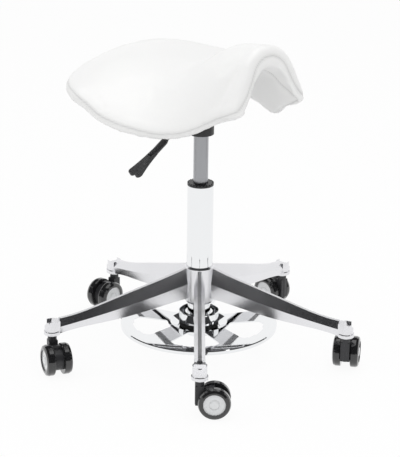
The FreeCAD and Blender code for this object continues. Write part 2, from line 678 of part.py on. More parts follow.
def lever_grip():
    """Moulded paddle with a round neck and a two-lobed end."""
    neck_end = GRIP_START + GRIP_NECK_LENGTH
    lobe_y = GRIP_HALF_WIDTH - GRIP_LOBE_R
    tip = GRIP_END - GRIP_LOBE_R
    low = -GRIP_THICKNESS / 2
    start = GRIP_START + GRIP_NECK_LENGTH * 0.7
    outline = Part.Wire([
        Part.makeLine(along_lever(start, -GRIP_NECK_R, low), along_lever(start, GRIP_NECK_R, low)),
        Part.Arc(along_lever(start, GRIP_NECK_R, low), along_lever(neck_end + 16, GRIP_NECK_R + 3, low),
                 along_lever(tip, GRIP_HALF_WIDTH, low)).toShape(),
        Part.Arc(along_lever(tip, GRIP_HALF_WIDTH, low), along_lever(GRIP_END, lobe_y, low),
                 along_lever(tip + 2, 0, low)).toShape(),
        Part.Arc(along_lever(tip + 2, 0, low), along_lever(GRIP_END, -lobe_y, low),
                 along_lever(tip, -GRIP_HALF_WIDTH, low)).toShape(),
        Part.Arc(along_lever(tip, -GRIP_HALF_WIDTH, low), along_lever(neck_end + 16, -GRIP_NECK_R - 3, low),
                 along_lever(start, -GRIP_NECK_R, low)).toShape(),
    ])
    up = along_lever(0, 0, 1) - along_lever(0)
    paddle = Part.Face(outline).extrude(up * GRIP_THICKNESS)
    axis = along_lever(1) - along_lever(0)
    neck = Part.makeCylinder(GRIP_NECK_R, GRIP_NECK_LENGTH, along_lever(GRIP_START), axis)
    collar = Part.makeCone(GRIP_NECK_R - 2, GRIP_NECK_R, 6, along_lever(GRIP_START - 6), axis)
    bore = Part.makeCylinder(LEVER_R + GRIP_BORE_GAP, LEVER_LENGTH + 1, along_lever(0), axis)
    return paddle.fuse([neck, collar]).cut(bore).removeSplitter()


# Saddle

FOAM_TOP = COVER_THICKNESS + LAYER_GAP
SHELL_BOTTOM = PAD_DEPTH - COVER_THICKNESS - LAYER_GAP
SHELL_TOP = SHELL_BOTTOM - SHELL_THICKNESS
BAND_TOP = PAD_DEPTH - PANEL_THICKNESS
SLAB_EXTRA = 5.0


def crown_share(x):
    """Part of the widest possible crown radius that a section uses."""
    first, last = SADDLE_SECTIONS[0][0], SADDLE_SECTIONS[-1][0]
    t = (x - first) / (last - first)
    return CROWN_SHARE_REAR + (CROWN_SHARE_FRONT - CROWN_SHARE_REAR) * t


def tangent_arch(x, half_width, ridge, rim):
    """Half arch: a crown arc and the flank line that leaves it towards the rim."""
    drop = ridge - rim
    radius = crown_share(x) * (half_width ** 2 + drop ** 2) / (2 * drop)
    centre_z = ridge - radius
    distance = math.hypot(half_width, rim - centre_z)
    lean = math.atan2(rim - centre_z, half_width) + math.acos(radius / distance)
    normal = (math.cos(lean), math.sin(lean))
    touch = (radius * normal[0], centre_z + radius * normal[1])
    return touch, normal


def flank_depth(depth):
    """Depth at the rim of a layer whose depth at the crown is given: the pad thins towards its rim."""
    return depth if depth <= FOAM_TOP else depth - (PAD_DEPTH - RIM_DEPTH)


def saddle_arch(section, depth, inset):
    """Half arch at a depth below the top: crest height, tangent point and end point."""
    x, half_width, ridge, rim = section
    normal = tangent_arch(x, half_width, ridge, rim)[1]
    sunk = flank_depth(depth)
    y = half_width - sunk * normal[0]
    z = rim - sunk * normal[1]
    touch, slope = tangent_arch(x, y, ridge - depth, z)
    return ridge - depth, touch, (y - inset * slope[1], z + inset * slope[0])


def saddle_wire(section, top_depth, bottom_depth, inset):
    """Closed section of a saddle layer: an outer arch, two ends square to the flanks, an inner arch."""
    x = section[0]
    top, t_top, e_top = saddle_arch(section, top_depth, inset)
    low, t_low, e_low = saddle_arch(section, bottom_depth, inset)

    def arc(crest, touch):
        return Part.Arc(point(x, -touch[0], touch[1]), point(x, 0, crest), point(x, touch[0], touch[1])).toShape()

    def line(a, b):
        return Part.makeLine(point(x, *a), point(x, *b))

    def flip(p):
        return (-p[0], p[1])

    return Part.Wire([
        line(flip(e_top), flip(t_top)), arc(top, t_top), line(t_top, e_top),
        line(e_top, e_low),
        line(e_low, t_low), arc(low, t_low), line(flip(t_low), flip(e_low)),
        line(flip(e_low), flip(e_top)),
    ])


def saddle_slab(top_depth, bottom_depth, inset):
    """Saddle-shaped layer between two depths, lofted from rear to front."""
    return Part.makeLoft([saddle_wire(s, top_depth, bottom_depth, inset) for s in SADDLE_SECTIONS], True, False)


def plan_outline(inset, z):
    """Plan outline at a height: a half ellipse round the rear and straight sides to a leaning nose."""
    sunk = inset + RIM_DRAW * (REAR_LEVEL - z)
    a = SADDLE_REAR + REAR_CURVE_X - sunk
    b = REAR_HALF_WIDTH - sunk
    nose_x = SADDLE_FRONT + NOSE_LEAN * (NOSE_LEVEL - z) - min(inset, SHELL_INSET)
    left, right = point(REAR_CURVE_X, b, z), point(REAR_CURVE_X, -b, z)
    centre = point(REAR_CURVE_X, 0, z)
    ellipse = Part.Ellipse(left, point(REAR_CURVE_X - a, 0, z), centre)
    rear = ellipse.toShape(0, math.pi)
    corner_left, corner_right = point(nose_x, b, z), point(nose_x, -b, z)
    return Part.Wire([
        rear, Part.makeLine(right, corner_right), Part.makeLine(corner_right, corner_left),
        Part.makeLine(corner_left, left),
    ])


def plan_column(inset):
    """Body inside the plan outline, drawn in towards the underside."""
    top = max(s[2] for s in SADDLE_SECTIONS) + 20
    bottom = min(s[3] for s in SADDLE_SECTIONS) - PAD_DEPTH
    return Part.makeLoft([plan_outline(inset, bottom), plan_outline(inset, top)], True, True)


def saddle_layer(top_depth, bottom_depth, inset):
    """Saddle layer cut to the plan outline."""
    return saddle_slab(top_depth, bottom_depth, inset).common(plan_column(inset)).Solids[0]


def faces_up(face):
    """True for a face of the top surface."""
    u0, u1, v0, v1 = face.ParameterRange
    return face.normalAt((u0 + u1) / 2, (v0 + v1) / 2).z > 0.2


def round_rim(solid, radius):
    """Layer with the rim of its top surface rounded over."""
    top = [f for f in solid.Faces if faces_up(f)]
    rim = []
    for edge in solid.Edges:
        touching = [f for f in top if any(edge.isSame(e) for e in f.Edges)]
        if len(touching) == 1:
            rim.append(edge)
    return solid.makeFillet(radius, rim)


def seat_cover():
    """Upholstery skin over the top and round the rim, open below."""
    outer = round_rim(saddle_layer(0, PAD_DEPTH, 0), RIM_ROUND)
    inner = saddle_slab(COVER_THICKNESS, PAD_DEPTH + SLAB_EXTRA, COVER_THICKNESS)
    inner = inner.common(plan_column(COVER_THICKNESS)).Solids[0]
    return outer.cut(round_rim(inner, RIM_ROUND - COVER_THICKNESS))


def bosses(radius, top, bottom):
    """Four upright cylinders on the seat bolts' centres."""
    return [cylinder(radius, bottom, top, x, y) for x, y in bolt_places()]


def seat_shell():
    """Moulded shell with four bosses that stand on the seat plate."""
    shell = saddle_layer(SHELL_TOP, SHELL_BOTTOM, SHELL_INSET)
    high = max(s[2] for s in SADDLE_SECTIONS)
    above = saddle_slab(0, (SHELL_TOP + SHELL_BOTTOM) / 2, -SLAB_EXTRA)
    for boss in bosses(BOSS_R, high, PLATE_TOP):
        lower = [s for s in boss.cut(above).Solids if s.BoundBox.ZMin < PLATE_TOP + 1]
        shell = shell.fuse(lower)
    for x, y in bolt_places():
        shell = shell.cut(cylinder(NUT_R + RUN, PLATE_TOP - 1, PLATE_TOP + BOLT_REACH, x, y))
    return shell.removeSplitter()


def t_nut(x, y):
    """Sleeve nut pressed into a boss from below."""
    return tube(NUT_R, BOLT_R, PLATE_TOP + 0.2, PLATE_TOP + BOLT_REACH - 1, x, y)


def seat_bolt(x, y):
    """Round-headed bolt from under the plate."""
    under = PLATE_TOP - PLATE_SHEET
    head = cylinder(BOLT_HEAD_R, under - BOLT_HEAD_H, under, x, y)
    return head.fuse(cylinder(BOLT_R - RUN, under - 1, PLATE_TOP + BOLT_REACH - 3, x, y)).removeSplitter()


def seat_foam():
    """Foam pad between cover and shell."""
    pad = round_rim(saddle_layer(FOAM_TOP, SHELL_BOTTOM, FOAM_TOP), RIM_ROUND - FOAM_TOP)
    inset = SHELL_INSET - LAYER_GAP
    core = saddle_slab(SHELL_TOP - LAYER_GAP, PAD_DEPTH + SLAB_EXTRA, inset).common(plan_column(inset))
    return pad.cut(core)


def side_band():
    """Upholstered band under the rim, between the two seams."""
    ring = saddle_layer(BAND_TOP, PAD_DEPTH, COVER_THICKNESS + LAYER_GAP)
    inner = saddle_slab(BAND_TOP - SLAB_EXTRA, PAD_DEPTH + SLAB_EXTRA, BAND_WIDTH).common(plan_column(BAND_WIDTH))
    return ring.cut(inner)


def under_cover():
    """Upholstered panel under the shell, with holes for the bosses."""
    panel = saddle_layer(BAND_TOP, PAD_DEPTH, BAND_WIDTH + LAYER_GAP)
    for hole in bosses(BOSS_R + LAYER_GAP, SADDLE_SECTIONS[-1][2], PLATE_TOP - 5):
        panel = panel.cut(hole)
    return panel


# Castors, modelled at the origin with the trail along +X

def castor_housing():
    """Body between the wheels: round hood over the axle and a boss for the stem."""
    half = HOUSING_WIDTH / 2
    hood = Part.makeCylinder(HOUSING_R, HOUSING_WIDTH, point(TRAIL, -half, WHEEL_R), Y_AXIS)
    web = block(-STEM_BOSS_R + 1, TRAIL, -half, half, WHEEL_R - 8, STEM_BOSS_TOP - 8)
    shoulder = Part.makeCylinder(TRAIL + STEM_BOSS_R - 1, HOUSING_WIDTH, point(TRAIL, -half, WHEEL_R - 8), Y_AXIS)
    web = web.common(shoulder.fuse(block(-STEM_BOSS_R + 1, STEM_BOSS_R, -half, half, 0, STEM_BOSS_TOP)))
    boss = cylinder(STEM_BOSS_R, WHEEL_R - 8, STEM_BOSS_TOP)
    body = hood.fuse([web, boss])
    body = body.cut(cylinder(STEM_R + RUN, STEM_BOSS_TOP - STEM_DEPTH - 0.5, STEM_BOSS_TOP + 1))
    axle = Part.makeCylinder(AXLE_R + RUN, 2 * HOUSING_WIDTH, point(TRAIL, -HOUSING_WIDTH, WHEEL_R), Y_AXIS)
    return body.cut(axle).removeSplitter()


def castor_pins():
    """Stem with its flange, and the axle, as two separate solids."""
    stem = cylinder(STEM_R, STEM_BOSS_TOP - STEM_DEPTH, TIP_UNDERSIDE + STEM_LENGTH)
    flange = cylinder(STEM_FLANGE_R, STEM_BOSS_TOP + RUN, TIP_UNDERSIDE - RUN)
    reach = HOUSING_WIDTH / 2 + WHEEL_GAP + WHEEL_WIDTH - DISC_RECESS - 3
    axle = Part.makeCylinder(AXLE_R, 2 * reach, point(TRAIL, -reach, WHEEL_R), Y_AXIS)
    return [stem.fuse(flange).removeSplitter(), axle]


def on_axle(profile, side):
    """Turned shape about the axle, from (radius, distance from the housing) corners."""
    near = HOUSING_WIDTH / 2 + WHEEL_GAP
    corners = [point(TRAIL, side * (near + w), WHEEL_R + r) for r, w in profile]
    face = Part.Face(Part.makePolygon(corners + corners[:1]))
    return face.revolve(point(TRAIL, 0, WHEEL_R), Y_AXIS, 360)


def tyre(side):
    """Tread ring with a rounded outer shoulder and a smaller inner one."""
    small = WHEEL_ROUND / 3
    profile = [(DISC_R, 0)]
    for radius, width, turn in ((small, 0, 1), (WHEEL_ROUND, WHEEL_WIDTH, -1)):
        corners = []
        for step in range(SHOULDER_STEPS + 1):
            angle = math.radians(90.0 * step / SHOULDER_STEPS)
            reach = WHEEL_R - radius * (1 - math.sin(angle))
            corners.append((reach, width + turn * radius * (1 - math.cos(angle))))
        profile += corners if turn > 0 else corners[::-1]
    return on_axle(profile + [(DISC_R, WHEEL_WIDTH)], side)


def wheel_disc(side):
    """Wheel centre with a recessed face and a domed cap."""
    face = WHEEL_WIDTH - DISC_RECESS
    return on_axle([
        (AXLE_R + RUN, 0), (DISC_R - SEAT_FIT, 0), (DISC_R - SEAT_FIT, face), (CAP_DOME_R, face),
        (CAP_DOME_R * 0.72, face + CAP_DOME_H * 0.8), (0, face + CAP_DOME_H), (0, face - 2.5),
        (AXLE_R + RUN, face - 2.5),
    ], side)


def placed_castor(shape, index):
    """Castor piece turned to its heading and moved under its arm."""
    copy = rotated(shape, CASTOR_HEADINGS[index])
    angle = math.radians(FRONT_ARM_ANGLE + 360.0 * index / ARM_COUNT)
    copy.translate(point(CASTOR_CIRCLE_R * math.cos(angle), CASTOR_CIRCLE_R * math.sin(angle), 0))
    return copy


def build():
    os.makedirs("parts", exist_ok=True)
    save("star_base", star_base())
    save("outer_tube", outer_tube())
    save("column_collar", column_collar())
    save("guide_bush", guide_bush())
    save("thrust_bearing", thrust_bearing())
    save("piston_rod", piston_rod())
    save("rod_clip", rod_clip())
    save("rod_bumper", rod_bumper())
    save("release_pin", release_pin())
    save("gas_cylinder", gas_cylinder())
    save("foot_clamp", foot_clamp())
    save("clamp_screws", clamp_screws())
    save("seal_ring", seal_ring())
    save("pivot_ball", pivot_ball())
    save("pivot_liner", pivot_liner())
    save("foot_ring", foot_ring())
    save("push_cap", push_cap())
    save("tilt_bracket", tilt_bracket())
    save("tilt_pin", tilt_pin())
    save("lever_pivot", lever_pivot())
    save("lever_rod", lever_rod())
    save("lever_grip", lever_grip())
    save("seat_plate", seat_plate())
    save("seat_bolts", [seat_bolt(x, y) for x, y in bolt_places()])
    save("t_nuts", [t_nut(x, y) for x, y in bolt_places()])
    save("seat_shell", seat_shell())
    save("seat_foam", seat_foam())
    save("seat_cover", seat_cover())
    save("side_band", side_band())
    save("under_cover", under_cover())
    for i in range(ARM_COUNT):
        name = "castor_%d_" % (i + 1)
        save(name + "housing", placed_castor(castor_housing(), i))
        save(name + "pins", [placed_castor(s, i) for s in castor_pins()])
        for letter, side in (("a", 1), ("b", -1)):
            save(name + "tyre_" + letter, placed_castor(tyre(side), i))
            save(name + "disc_" + letter, placed_castor(wheel_disc(side), i))


if __name__ == "__main__":
    build()
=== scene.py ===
"""Saddle stool: finishes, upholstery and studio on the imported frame."""

import json
import math

import bmesh
import bpy
from bpy.props import FloatProperty, FloatVectorProperty, IntProperty, PointerProperty
from bpy.types import Operator, Panel, PropertyGroup
from mathutils import Matrix, Quaternion, Vector
from mathutils.bvhtree import BVHTree
from mathutils.kdtree import KDTree


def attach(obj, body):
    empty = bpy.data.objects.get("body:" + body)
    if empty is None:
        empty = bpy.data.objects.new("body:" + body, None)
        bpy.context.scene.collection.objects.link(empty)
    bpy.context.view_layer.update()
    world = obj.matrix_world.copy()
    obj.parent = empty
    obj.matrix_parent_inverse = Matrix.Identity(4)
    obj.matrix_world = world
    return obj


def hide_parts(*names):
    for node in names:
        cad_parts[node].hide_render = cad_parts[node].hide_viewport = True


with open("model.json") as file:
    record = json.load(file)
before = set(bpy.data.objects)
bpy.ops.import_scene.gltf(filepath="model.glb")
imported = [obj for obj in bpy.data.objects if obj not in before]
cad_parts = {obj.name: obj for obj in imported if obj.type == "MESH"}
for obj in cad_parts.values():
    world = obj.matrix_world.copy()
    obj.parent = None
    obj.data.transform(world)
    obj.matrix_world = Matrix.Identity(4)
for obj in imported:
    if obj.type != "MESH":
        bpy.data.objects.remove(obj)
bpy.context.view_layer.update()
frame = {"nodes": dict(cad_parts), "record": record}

bl_info = {
    "name": "Saddle Stool",
    "version": (1, 0, 0),
    "blender": (4, 5, 0),
    "location": "3D View > Sidebar > Stool",
    "description": "Finishes, upholstery and studio of a saddle stool",
    "category": "Object",
}

SLOTS = {part["node"]: part["material_slot"] for part in frame["record"]["subparts"]}
MM = 0.001

# The saddle's cross sections from back to front, in millimetres: place along X,
# half width, height of the ridge and height of the rim.
SADDLE_SECTIONS = (
    (-250, 213, 550, 503),
    (-200, 215, 576, 520),
    (-150, 216, 588, 537),
    (-104, 216, 582, 530),
    (-50, 205, 570, 504),
    (0, 179, 574, 488),
    (50, 152, 606, 481),
    (100, 123, 635, 493),
    (150, 97, 643, 524),
    (204, 76, 632, 552),
)
CROWN_SHARE_BACK, CROWN_SHARE_FRONT = 0.82, 0.66
NOSE_PLACE, NOSE_LEVEL, NOSE_LEAN = 174.0, 636.0, 0.19
REAR_CENTRE, REAR_LENGTH, REAR_HALF_WIDTH = -104.0, 134.0, 214.0
RIM_DEPTH, NOSE_DEPTH, RIM_DRAW = 24.0, 46.0, 0.3
# The front seams: how far down the front face the upper one runs, and how far
# back in the tunnel the lower one runs.
ROLL_DEPTH, TUNNEL_DEPTH = 12.0, 42.0
# How both die away towards the corners, and the depth of the side towards its
# rim. Then the steps of the front's halves, of a side and of the rear.
CORNER_FADE, DEPTH_FADE = 8, 1.5
FRONT_STEPS, SIDE_STEPS, REAR_STEPS = 20, 40, 60
# The leg tips of the pommel: their place, the reach of the padding round them and
# how it settles, with the sideways move outwards.
LEG_TIP, LEG_REACH, LEG_MOVE = (192.0, 80.0, 536.0), 75.0, (-6.0, 4.0, -6.0)
# How far behind the front face the cover is rounded more, in millimetres.
NOSE_ROLL_BACK = 16.0
# Skin that faces down more steeply than this is held by the shell.
HELD_LEAN = -0.2
# How the remeshed skin is evened, as rounds and share of each move, first on its
# own, then on its form, and how far it follows the form.
FIRST_EVENING, LAST_EVENING, NOSE_EVENING = (4, 0.5), (2, 0.4), (4, 0.5)
FORM_REACH, FORM_SHARE = 0.006, 0.9
# The padding beside a seam: how far from it and how wide, in widths of its valley,
# and how high, as a share of its depth. Then the half width of the painted shade that darkens its line.
PUFF_PLACE, PUFF_WIDTH, PUFF_SHARE = 4.0, 2.4, 0.45
SEAM_SHADE_WIDTH = 0.0017
# Distances of the points on a line laid on the skin and on a seam's valley, then
# how often a seam and a stitch row are laid down and evened.
LINE_SPACING, VALLEY_SPACING = 0.003, 0.001
LINE_ROUNDS, ROW_ROUNDS = 6, 3

# The photograph's camera, turned from the seat's right side towards its front:
# degrees, metres and pixels, with the sensor in millimetres.
CAMERA_HEADING, CAMERA_TIP, CAMERA_ROLL = 47.0, 19.925, 0.756
CAMERA_DISTANCE, CAMERA_HEIGHT = 3.5735, 1.54805
CAMERA_FOCUS, PHOTO_HEIGHT, SENSOR = 1997.2, 457.0, 36.0

# Place, size and whether metal mirrors it, for each lamp.
LAMPS = {
    "top": ((0.2, 0.3, 3.2), 2.6, True),
    "front": ((2.9, -2.0, 2.6), 2.2, False),
    "side": ((-2.2, -2.9, 2.4), 2.0, False),
}
LAMP_AIM = (0.0, 0.0, 0.4)
# Heading and width in degrees, then distance, foot and top in metres, for each
# dark card: a slim one on either side of the stool and the wall behind the camera.
CARDS = (
    (47.0, 18.0, 1.5, 0.0, 0.8),
    (227.0, 18.0, 1.5, 0.0, 0.8),
    (317.0, 190.0, 5.0, 0.0, 4.2),
)
CARD_STEPS, CEILING_RADIUS = 16, 6.0
FLOOR_DROP = 0.0005

# Colour setting, roughness with its spread and scale of marks, cloudiness of the
# colour, and scale and strength of the fine grain, for each hard finish.
HARD_FINISHES = {
    "polished_aluminium": ("aluminium", 0.25, 0.07, 22.0, 0.06, 300.0, 0.015),
    "chrome": ("chrome", 0.05, 0.03, 26.0, 0.02, 220.0, 0.015),
    "satin_steel": ("satin", 0.30, 0.08, 18.0, 0.04, 500.0, 0.10),
    "steel": ("steel", 0.28, 0.10, 60.0, 0.08, 700.0, 0.12),
    "black_metal": ("coating", 0.42, 0.08, 40.0, 0.10, 900.0, 0.45),
    "black_plastic": ("plastic", 0.36, 0.08, 45.0, 0.10, 1100.0, 0.35),
    "castor_body": ("housing", 0.40, 0.08, 45.0, 0.10, 1100.0, 0.40),
    "castor_tread": ("tread", 0.14, 0.06, 50.0, 0.10, 700.0, 0.05),
    "castor_disc": ("disc", 0.16, 0.05, 50.0, 0.04, 600.0, 0.03),
    "rubber": ("rubber", 0.68, 0.10, 60.0, 0.12, 900.0, 0.5),
    "foam": ("foam", 0.9, 0.05, 40.0, 0.08, 500.0, 0.8),
}
RELIEF_DEPTH = 0.0002
# The metals, weight and roughness of a clear coat, and how a turned surface
# squeezes the marks round it.
METALS = ("polished_aluminium", "chrome", "satin_steel", "steel")
COATS = {"castor_tread": (0.8, 0.05), "castor_disc": (1.0, 0.04)}
TURNED = {"satin_steel": (0.25, 0.25, 6.0)}


# ---------------------------------------------------------------- settings


def colour_property(name, description, default):
    """A colour that the user can change."""
    return FloatVectorProperty(
        name=name, description=description, default=default, size=3, min=0.0, max=1.0, subtype="COLOR"
    )


def length_property(name, description, default):
    """A length in metres that the user can change."""
    return FloatProperty(
        name=name, description=description, default=default, min=0.0, unit="LENGTH", subtype="DISTANCE"
    )


def strength_property(name, description, default):
    """A lamp's power or a room's strength that the user can change."""
    return FloatProperty(name=name, description=description, default=default, min=0.0)


class SaddleSettings(PropertyGroup):
    leather: colour_property("Leatherette", "Colour of the saddle cover", (0.90, 0.90, 0.895))
    thread: colour_property("Thread", "Colour of the seam thread", (0.78, 0.78, 0.77))
    voxel: length_property("Cell", "Size of the remeshed cells of the pad", 0.006)
    slack: length_property("Slack", "How far the cover is cut inside the finished form", 0.0010)
    swell: length_property("Swell", "Most that the filling pushes the cover out", 0.0026)
    pressure: strength_property("Pressure", "Pressure of the filling", 4.0)
    frames: IntProperty(name="Frames", description="Steps of the cloth simulation", default=20, min=2)
    seam_depth: length_property("Seam depth", "How deep the seams are drawn in", 0.0010)
    seam_width: length_property("Seam width", "Half width of the drawn-in valley", 0.0030)
    pitch: length_property("Stitch pitch", "Distance from stitch to stitch", 0.0045)
    stitch: length_property("Stitch length", "Length of one stitch", 0.0034)
    thickness: length_property("Thread thickness", "Thickness of the thread", 0.0008)
    row_gap: length_property("Row distance", "Distance of a stitch row from its seam", 0.0038)


class FinishSettings(PropertyGroup):
    aluminium: colour_property("Polished aluminium", "Colour of the star base", (0.80, 0.80, 0.82))
    chrome: colour_property("Chrome", "Colour of the plated parts", (0.86, 0.87, 0.88))
    satin: colour_property("Satin steel", "Colour of the gas cylinder", (0.38, 0.385, 0.40))
    steel: colour_property("Steel", "Colour of pins and screws", (0.52, 0.53, 0.54))
    coating: colour_property("Black coating", "Colour of the coated tilt bracket", (0.022, 0.022, 0.023))
    plastic: colour_property("Black plastic", "Colour of grip and bushes", (0.020, 0.020, 0.022))
    housing: colour_property("Castor housing", "Colour of the castor bodies", (0.028, 0.028, 0.031))
    tread: colour_property("Castor tread", "Colour of the wheel treads", (0.012, 0.012, 0.013))
    disc: colour_property("Castor disc", "Colour of the wheel discs", (0.74, 0.75, 0.76))
    rubber: colour_property("Rubber", "Colour of seals and bumpers", (0.020, 0.020, 0.020))
    wood: colour_property("Plywood", "Colour of the seat shell", (0.60, 0.43, 0.25))
    foam: colour_property("Foam", "Colour of the pad's foam", (0.82, 0.76, 0.60))


class StudioSettings(PropertyGroup):
    floor: length_property("Floor radius", "Radius of the studio floor", 40.0)
    floor_white: FloatProperty(
        name="Floor evenness", description="Share of plain white in the floor", default=0.93, min=0.0, max=1.0
    )
    world: strength_property("Room light", "Strength of the light from all round", 0.65)
    top: strength_property("Top lamp", "Power of the overhead lamp in watts", 30.0)
    front: strength_property("Front lamp", "Power of the lamp by the camera in watts", 25.0)
    side: strength_property("Side lamp", "Power of the lamp on the left in watts", 21.0)
    card: colour_property("Dark card", "Colour of the cards that the metal mirrors", (0.045, 0.045, 0.048))
    ceiling: length_property("Ceiling", "Height of the dark ceiling that the metal mirrors", 3.9)


class StoolSettings(PropertyGroup):
    saddle: PointerProperty(type=SaddleSettings)
    finish: PointerProperty(type=FinishSettings)
    studio: PointerProperty(type=StudioSettings)


# ---------------------------------------------------------------- shader node groups


def shader_group(name, inputs, outputs):
    """An empty shader node group with its sockets, and its first and last node."""
    group = bpy.data.node_groups.new(name, "ShaderNodeTree")
    for label, kind, default in inputs:
        socket = group.interface.new_socket(name=label, in_out="INPUT", socket_type=kind)
        if default is not None:
            socket.default_value = default
    for label, kind in outputs:
        group.interface.new_socket(name=label, in_out="OUTPUT", socket_type=kind)
    return group, group.nodes.new("NodeGroupInput"), group.nodes.new("NodeGroupOutput")


def noise_node(tree, vector, scale, detail):
    """A noise texture that reads a vector and a scale socket."""
    noise = tree.nodes.new("ShaderNodeTexNoise")
    noise.inputs["Detail"].default_value = detail
    tree.links.new(vector, noise.inputs["Vector"])
    tree.links.new(scale, noise.inputs["Scale"])
    return noise.outputs["Fac"]


def arithmetic(tree, operation, first, second):
    """A Math node on two sockets or numbers."""
    node = tree.nodes.new("ShaderNodeMath")
    node.operation = operation
    for socket, value in zip(node.inputs, (first, second)):
        if isinstance(value, (int, float)):
            socket.default_value = value
        else:
            tree.links.new(value, socket)
    return node.outputs[0]


def cloudy_colour_group():
    """Colour that grows a little lighter and darker over the surface, and darker by the painted shade it is
    given.
    """
    group, start, end = shader_group(
        "Cloudy Colour",
        (
            ("Vector", "NodeSocketVector", None),
            ("Colour", "NodeSocketColor", (0.5, 0.5, 0.5, 1.0)),
            ("Scale", "NodeSocketFloat", 12.0),
            ("Amount", "NodeSocketFloat", 0.05),
            ("Dirt", "NodeSocketFloat", 0.0),
        ),
        (("Colour", "NodeSocketColor"),),
    )
    cloud = noise_node(group, start.outputs["Vector"], start.outputs["Scale"], 4.0)
    centred = arithmetic(group, "SUBTRACT", cloud, 0.5)
    spread = arithmetic(group, "MULTIPLY", centred, start.outputs["Amount"])
    level = arithmetic(group, "ADD", spread, 1.0)
    # Painted shade is taken off the colour here.
    shade = arithmetic(group, "SUBTRACT", level, start.outputs["Dirt"])
    tinted = group.nodes.new("ShaderNodeVectorMath")
    tinted.operation = "SCALE"
    group.links.new(start.outputs["Colour"], tinted.inputs[0])
    group.links.new(shade, tinted.inputs["Scale"])
    group.links.new(tinted.outputs[0], end.inputs["Colour"])
    return group


def handling_group():
    """Roughness with smudges and fine rubbed streaks."""
    group, start, end = shader_group(
        "Handling Marks",
        (
            ("Vector", "NodeSocketVector", None),
            ("Roughness", "NodeSocketFloat", 0.3),
            ("Spread", "NodeSocketFloat", 0.1),
            ("Scale", "NodeSocketFloat", 20.0),
        ),
        (("Roughness", "NodeSocketFloat"),),
    )
    smudge = noise_node(group, start.outputs["Vector"], start.outputs["Scale"], 6.0)
    fine_scale = arithmetic(group, "MULTIPLY", start.outputs["Scale"], 14.0)
    rubbed = noise_node(group, start.outputs["Vector"], fine_scale, 2.0)
    both = arithmetic(group, "ADD", smudge, rubbed)
    centred = arithmetic(group, "SUBTRACT", both, 1.0)
    spread = arithmetic(group, "MULTIPLY", centred, start.outputs["Spread"])
    level = arithmetic(group, "ADD", spread, start.outputs["Roughness"])
    lowest = arithmetic(group, "MAXIMUM", level, 0.02)
    group.links.new(lowest, end.inputs["Roughness"])
    return group


def fine_grain_group():
    """Height of a fine moulded, coated or ground texture."""
    group, start, end = shader_group(
        "Fine Grain",
        (
            ("Vector", "NodeSocketVector", None),
            ("Scale", "NodeSocketFloat", 800.0),
        ),
        (("Height", "NodeSocketFloat"),),
    )
    coarse_scale = arithmetic(group, "MULTIPLY", start.outputs["Scale"], 0.35)
    coarse = noise_node(group, start.outputs["Vector"], coarse_scale, 2.0)
    fine = noise_node(group, start.outputs["Vector"], start.outputs["Scale"], 3.0)
    both = arithmetic(group, "ADD", coarse, fine)
    group.links.new(both, end.inputs["Height"])
    return group


def leather_grain_group():
    """Pebbled cells with creases between them, as pressed into leatherette."""
    group, start, end = shader_group(
        "Leather Grain",
        (
            ("Vector", "NodeSocketVector", None),
            ("Scale", "NodeSocketFloat", 620.0),
            ("Crease", "NodeSocketFloat", 0.5),
        ),
        (("Height", "NodeSocketFloat"), ("Pores", "NodeSocketFloat")),
    )
    warp_scale = arithmetic(group, "MULTIPLY", start.outputs["Scale"], 0.25)
    warp = group.nodes.new("ShaderNodeTexNoise")
    group.links.new(start.outputs["Vector"], warp.inputs["Vector"])
    group.links.new(warp_scale, warp.inputs["Scale"])
    shift = group.nodes.new("ShaderNodeVectorMath")
    shift.operation = "MULTIPLY_ADD"
    shift.inputs[1].default_value = (0.0012, 0.0012, 0.0012)
    group.links.new(warp.outputs["Color"], shift.inputs[0])
    group.links.new(start.outputs["Vector"], shift.inputs[2])
    pebble = group.nodes.new("ShaderNodeTexVoronoi")
    pebble.feature = "DISTANCE_TO_EDGE"
    group.links.new(shift.outputs[0], pebble.inputs["Vector"])
    group.links.new(start.outputs["Scale"], pebble.inputs["Scale"])
    rounded = arithmetic(group, "SMOOTH_MIN", pebble.outputs["Distance"], 0.28)
    crease_scale = arithmetic(group, "MULTIPLY", start.outputs["Scale"], 0.08)
    crease = noise_node(group, start.outputs["Vector"], crease_scale, 5.0)
    creased = arithmetic(group, "MULTIPLY", crease, start.outputs["Crease"])
    height = arithmetic(group, "ADD", rounded, creased)
    pores = arithmetic(group, "LESS_THAN", pebble.outputs["Distance"], 0.05)
    group.links.new(height, end.inputs["Height"])
    group.links.new(pores, end.inputs["Pores"])
    return group


def group_once(name, build):
    """The node group of that name, built the first time it is asked for."""
    return bpy.data.node_groups.get(name) or build()


# ---------------------------------------------------------------- finishes


def empty_material(name):
    """A material with only its shader and output."""
    material = bpy.data.materials.new(name)
    material.use_nodes = True
    tree = material.node_tree
    tree.nodes.clear()
    shader = tree.nodes.new("ShaderNodeBsdfPrincipled")
    output = tree.nodes.new("ShaderNodeOutputMaterial")
    tree.links.new(shader.outputs["BSDF"], output.inputs["Surface"])
    return material, tree, shader


def placed_group(tree, group, vector, **values):
    """A node group in a material, reading the vector and these values."""
    node = tree.nodes.new("ShaderNodeGroup")
    node.node_tree = group
    tree.links.new(vector, node.inputs["Vector"])
    for label, value in values.items():
        node.inputs[label].default_value = value
    return node


def surface_vector(tree, stretch):
    """Object coordinates, squeezed along the way that the finish runs."""
    place = tree.nodes.new("ShaderNodeTexCoord")
    mapping = tree.nodes.new("ShaderNodeMapping")
    mapping.inputs["Scale"].default_value = stretch
    tree.links.new(place.outputs["Object"], mapping.inputs["Vector"])
    return mapping.outputs["Vector"]


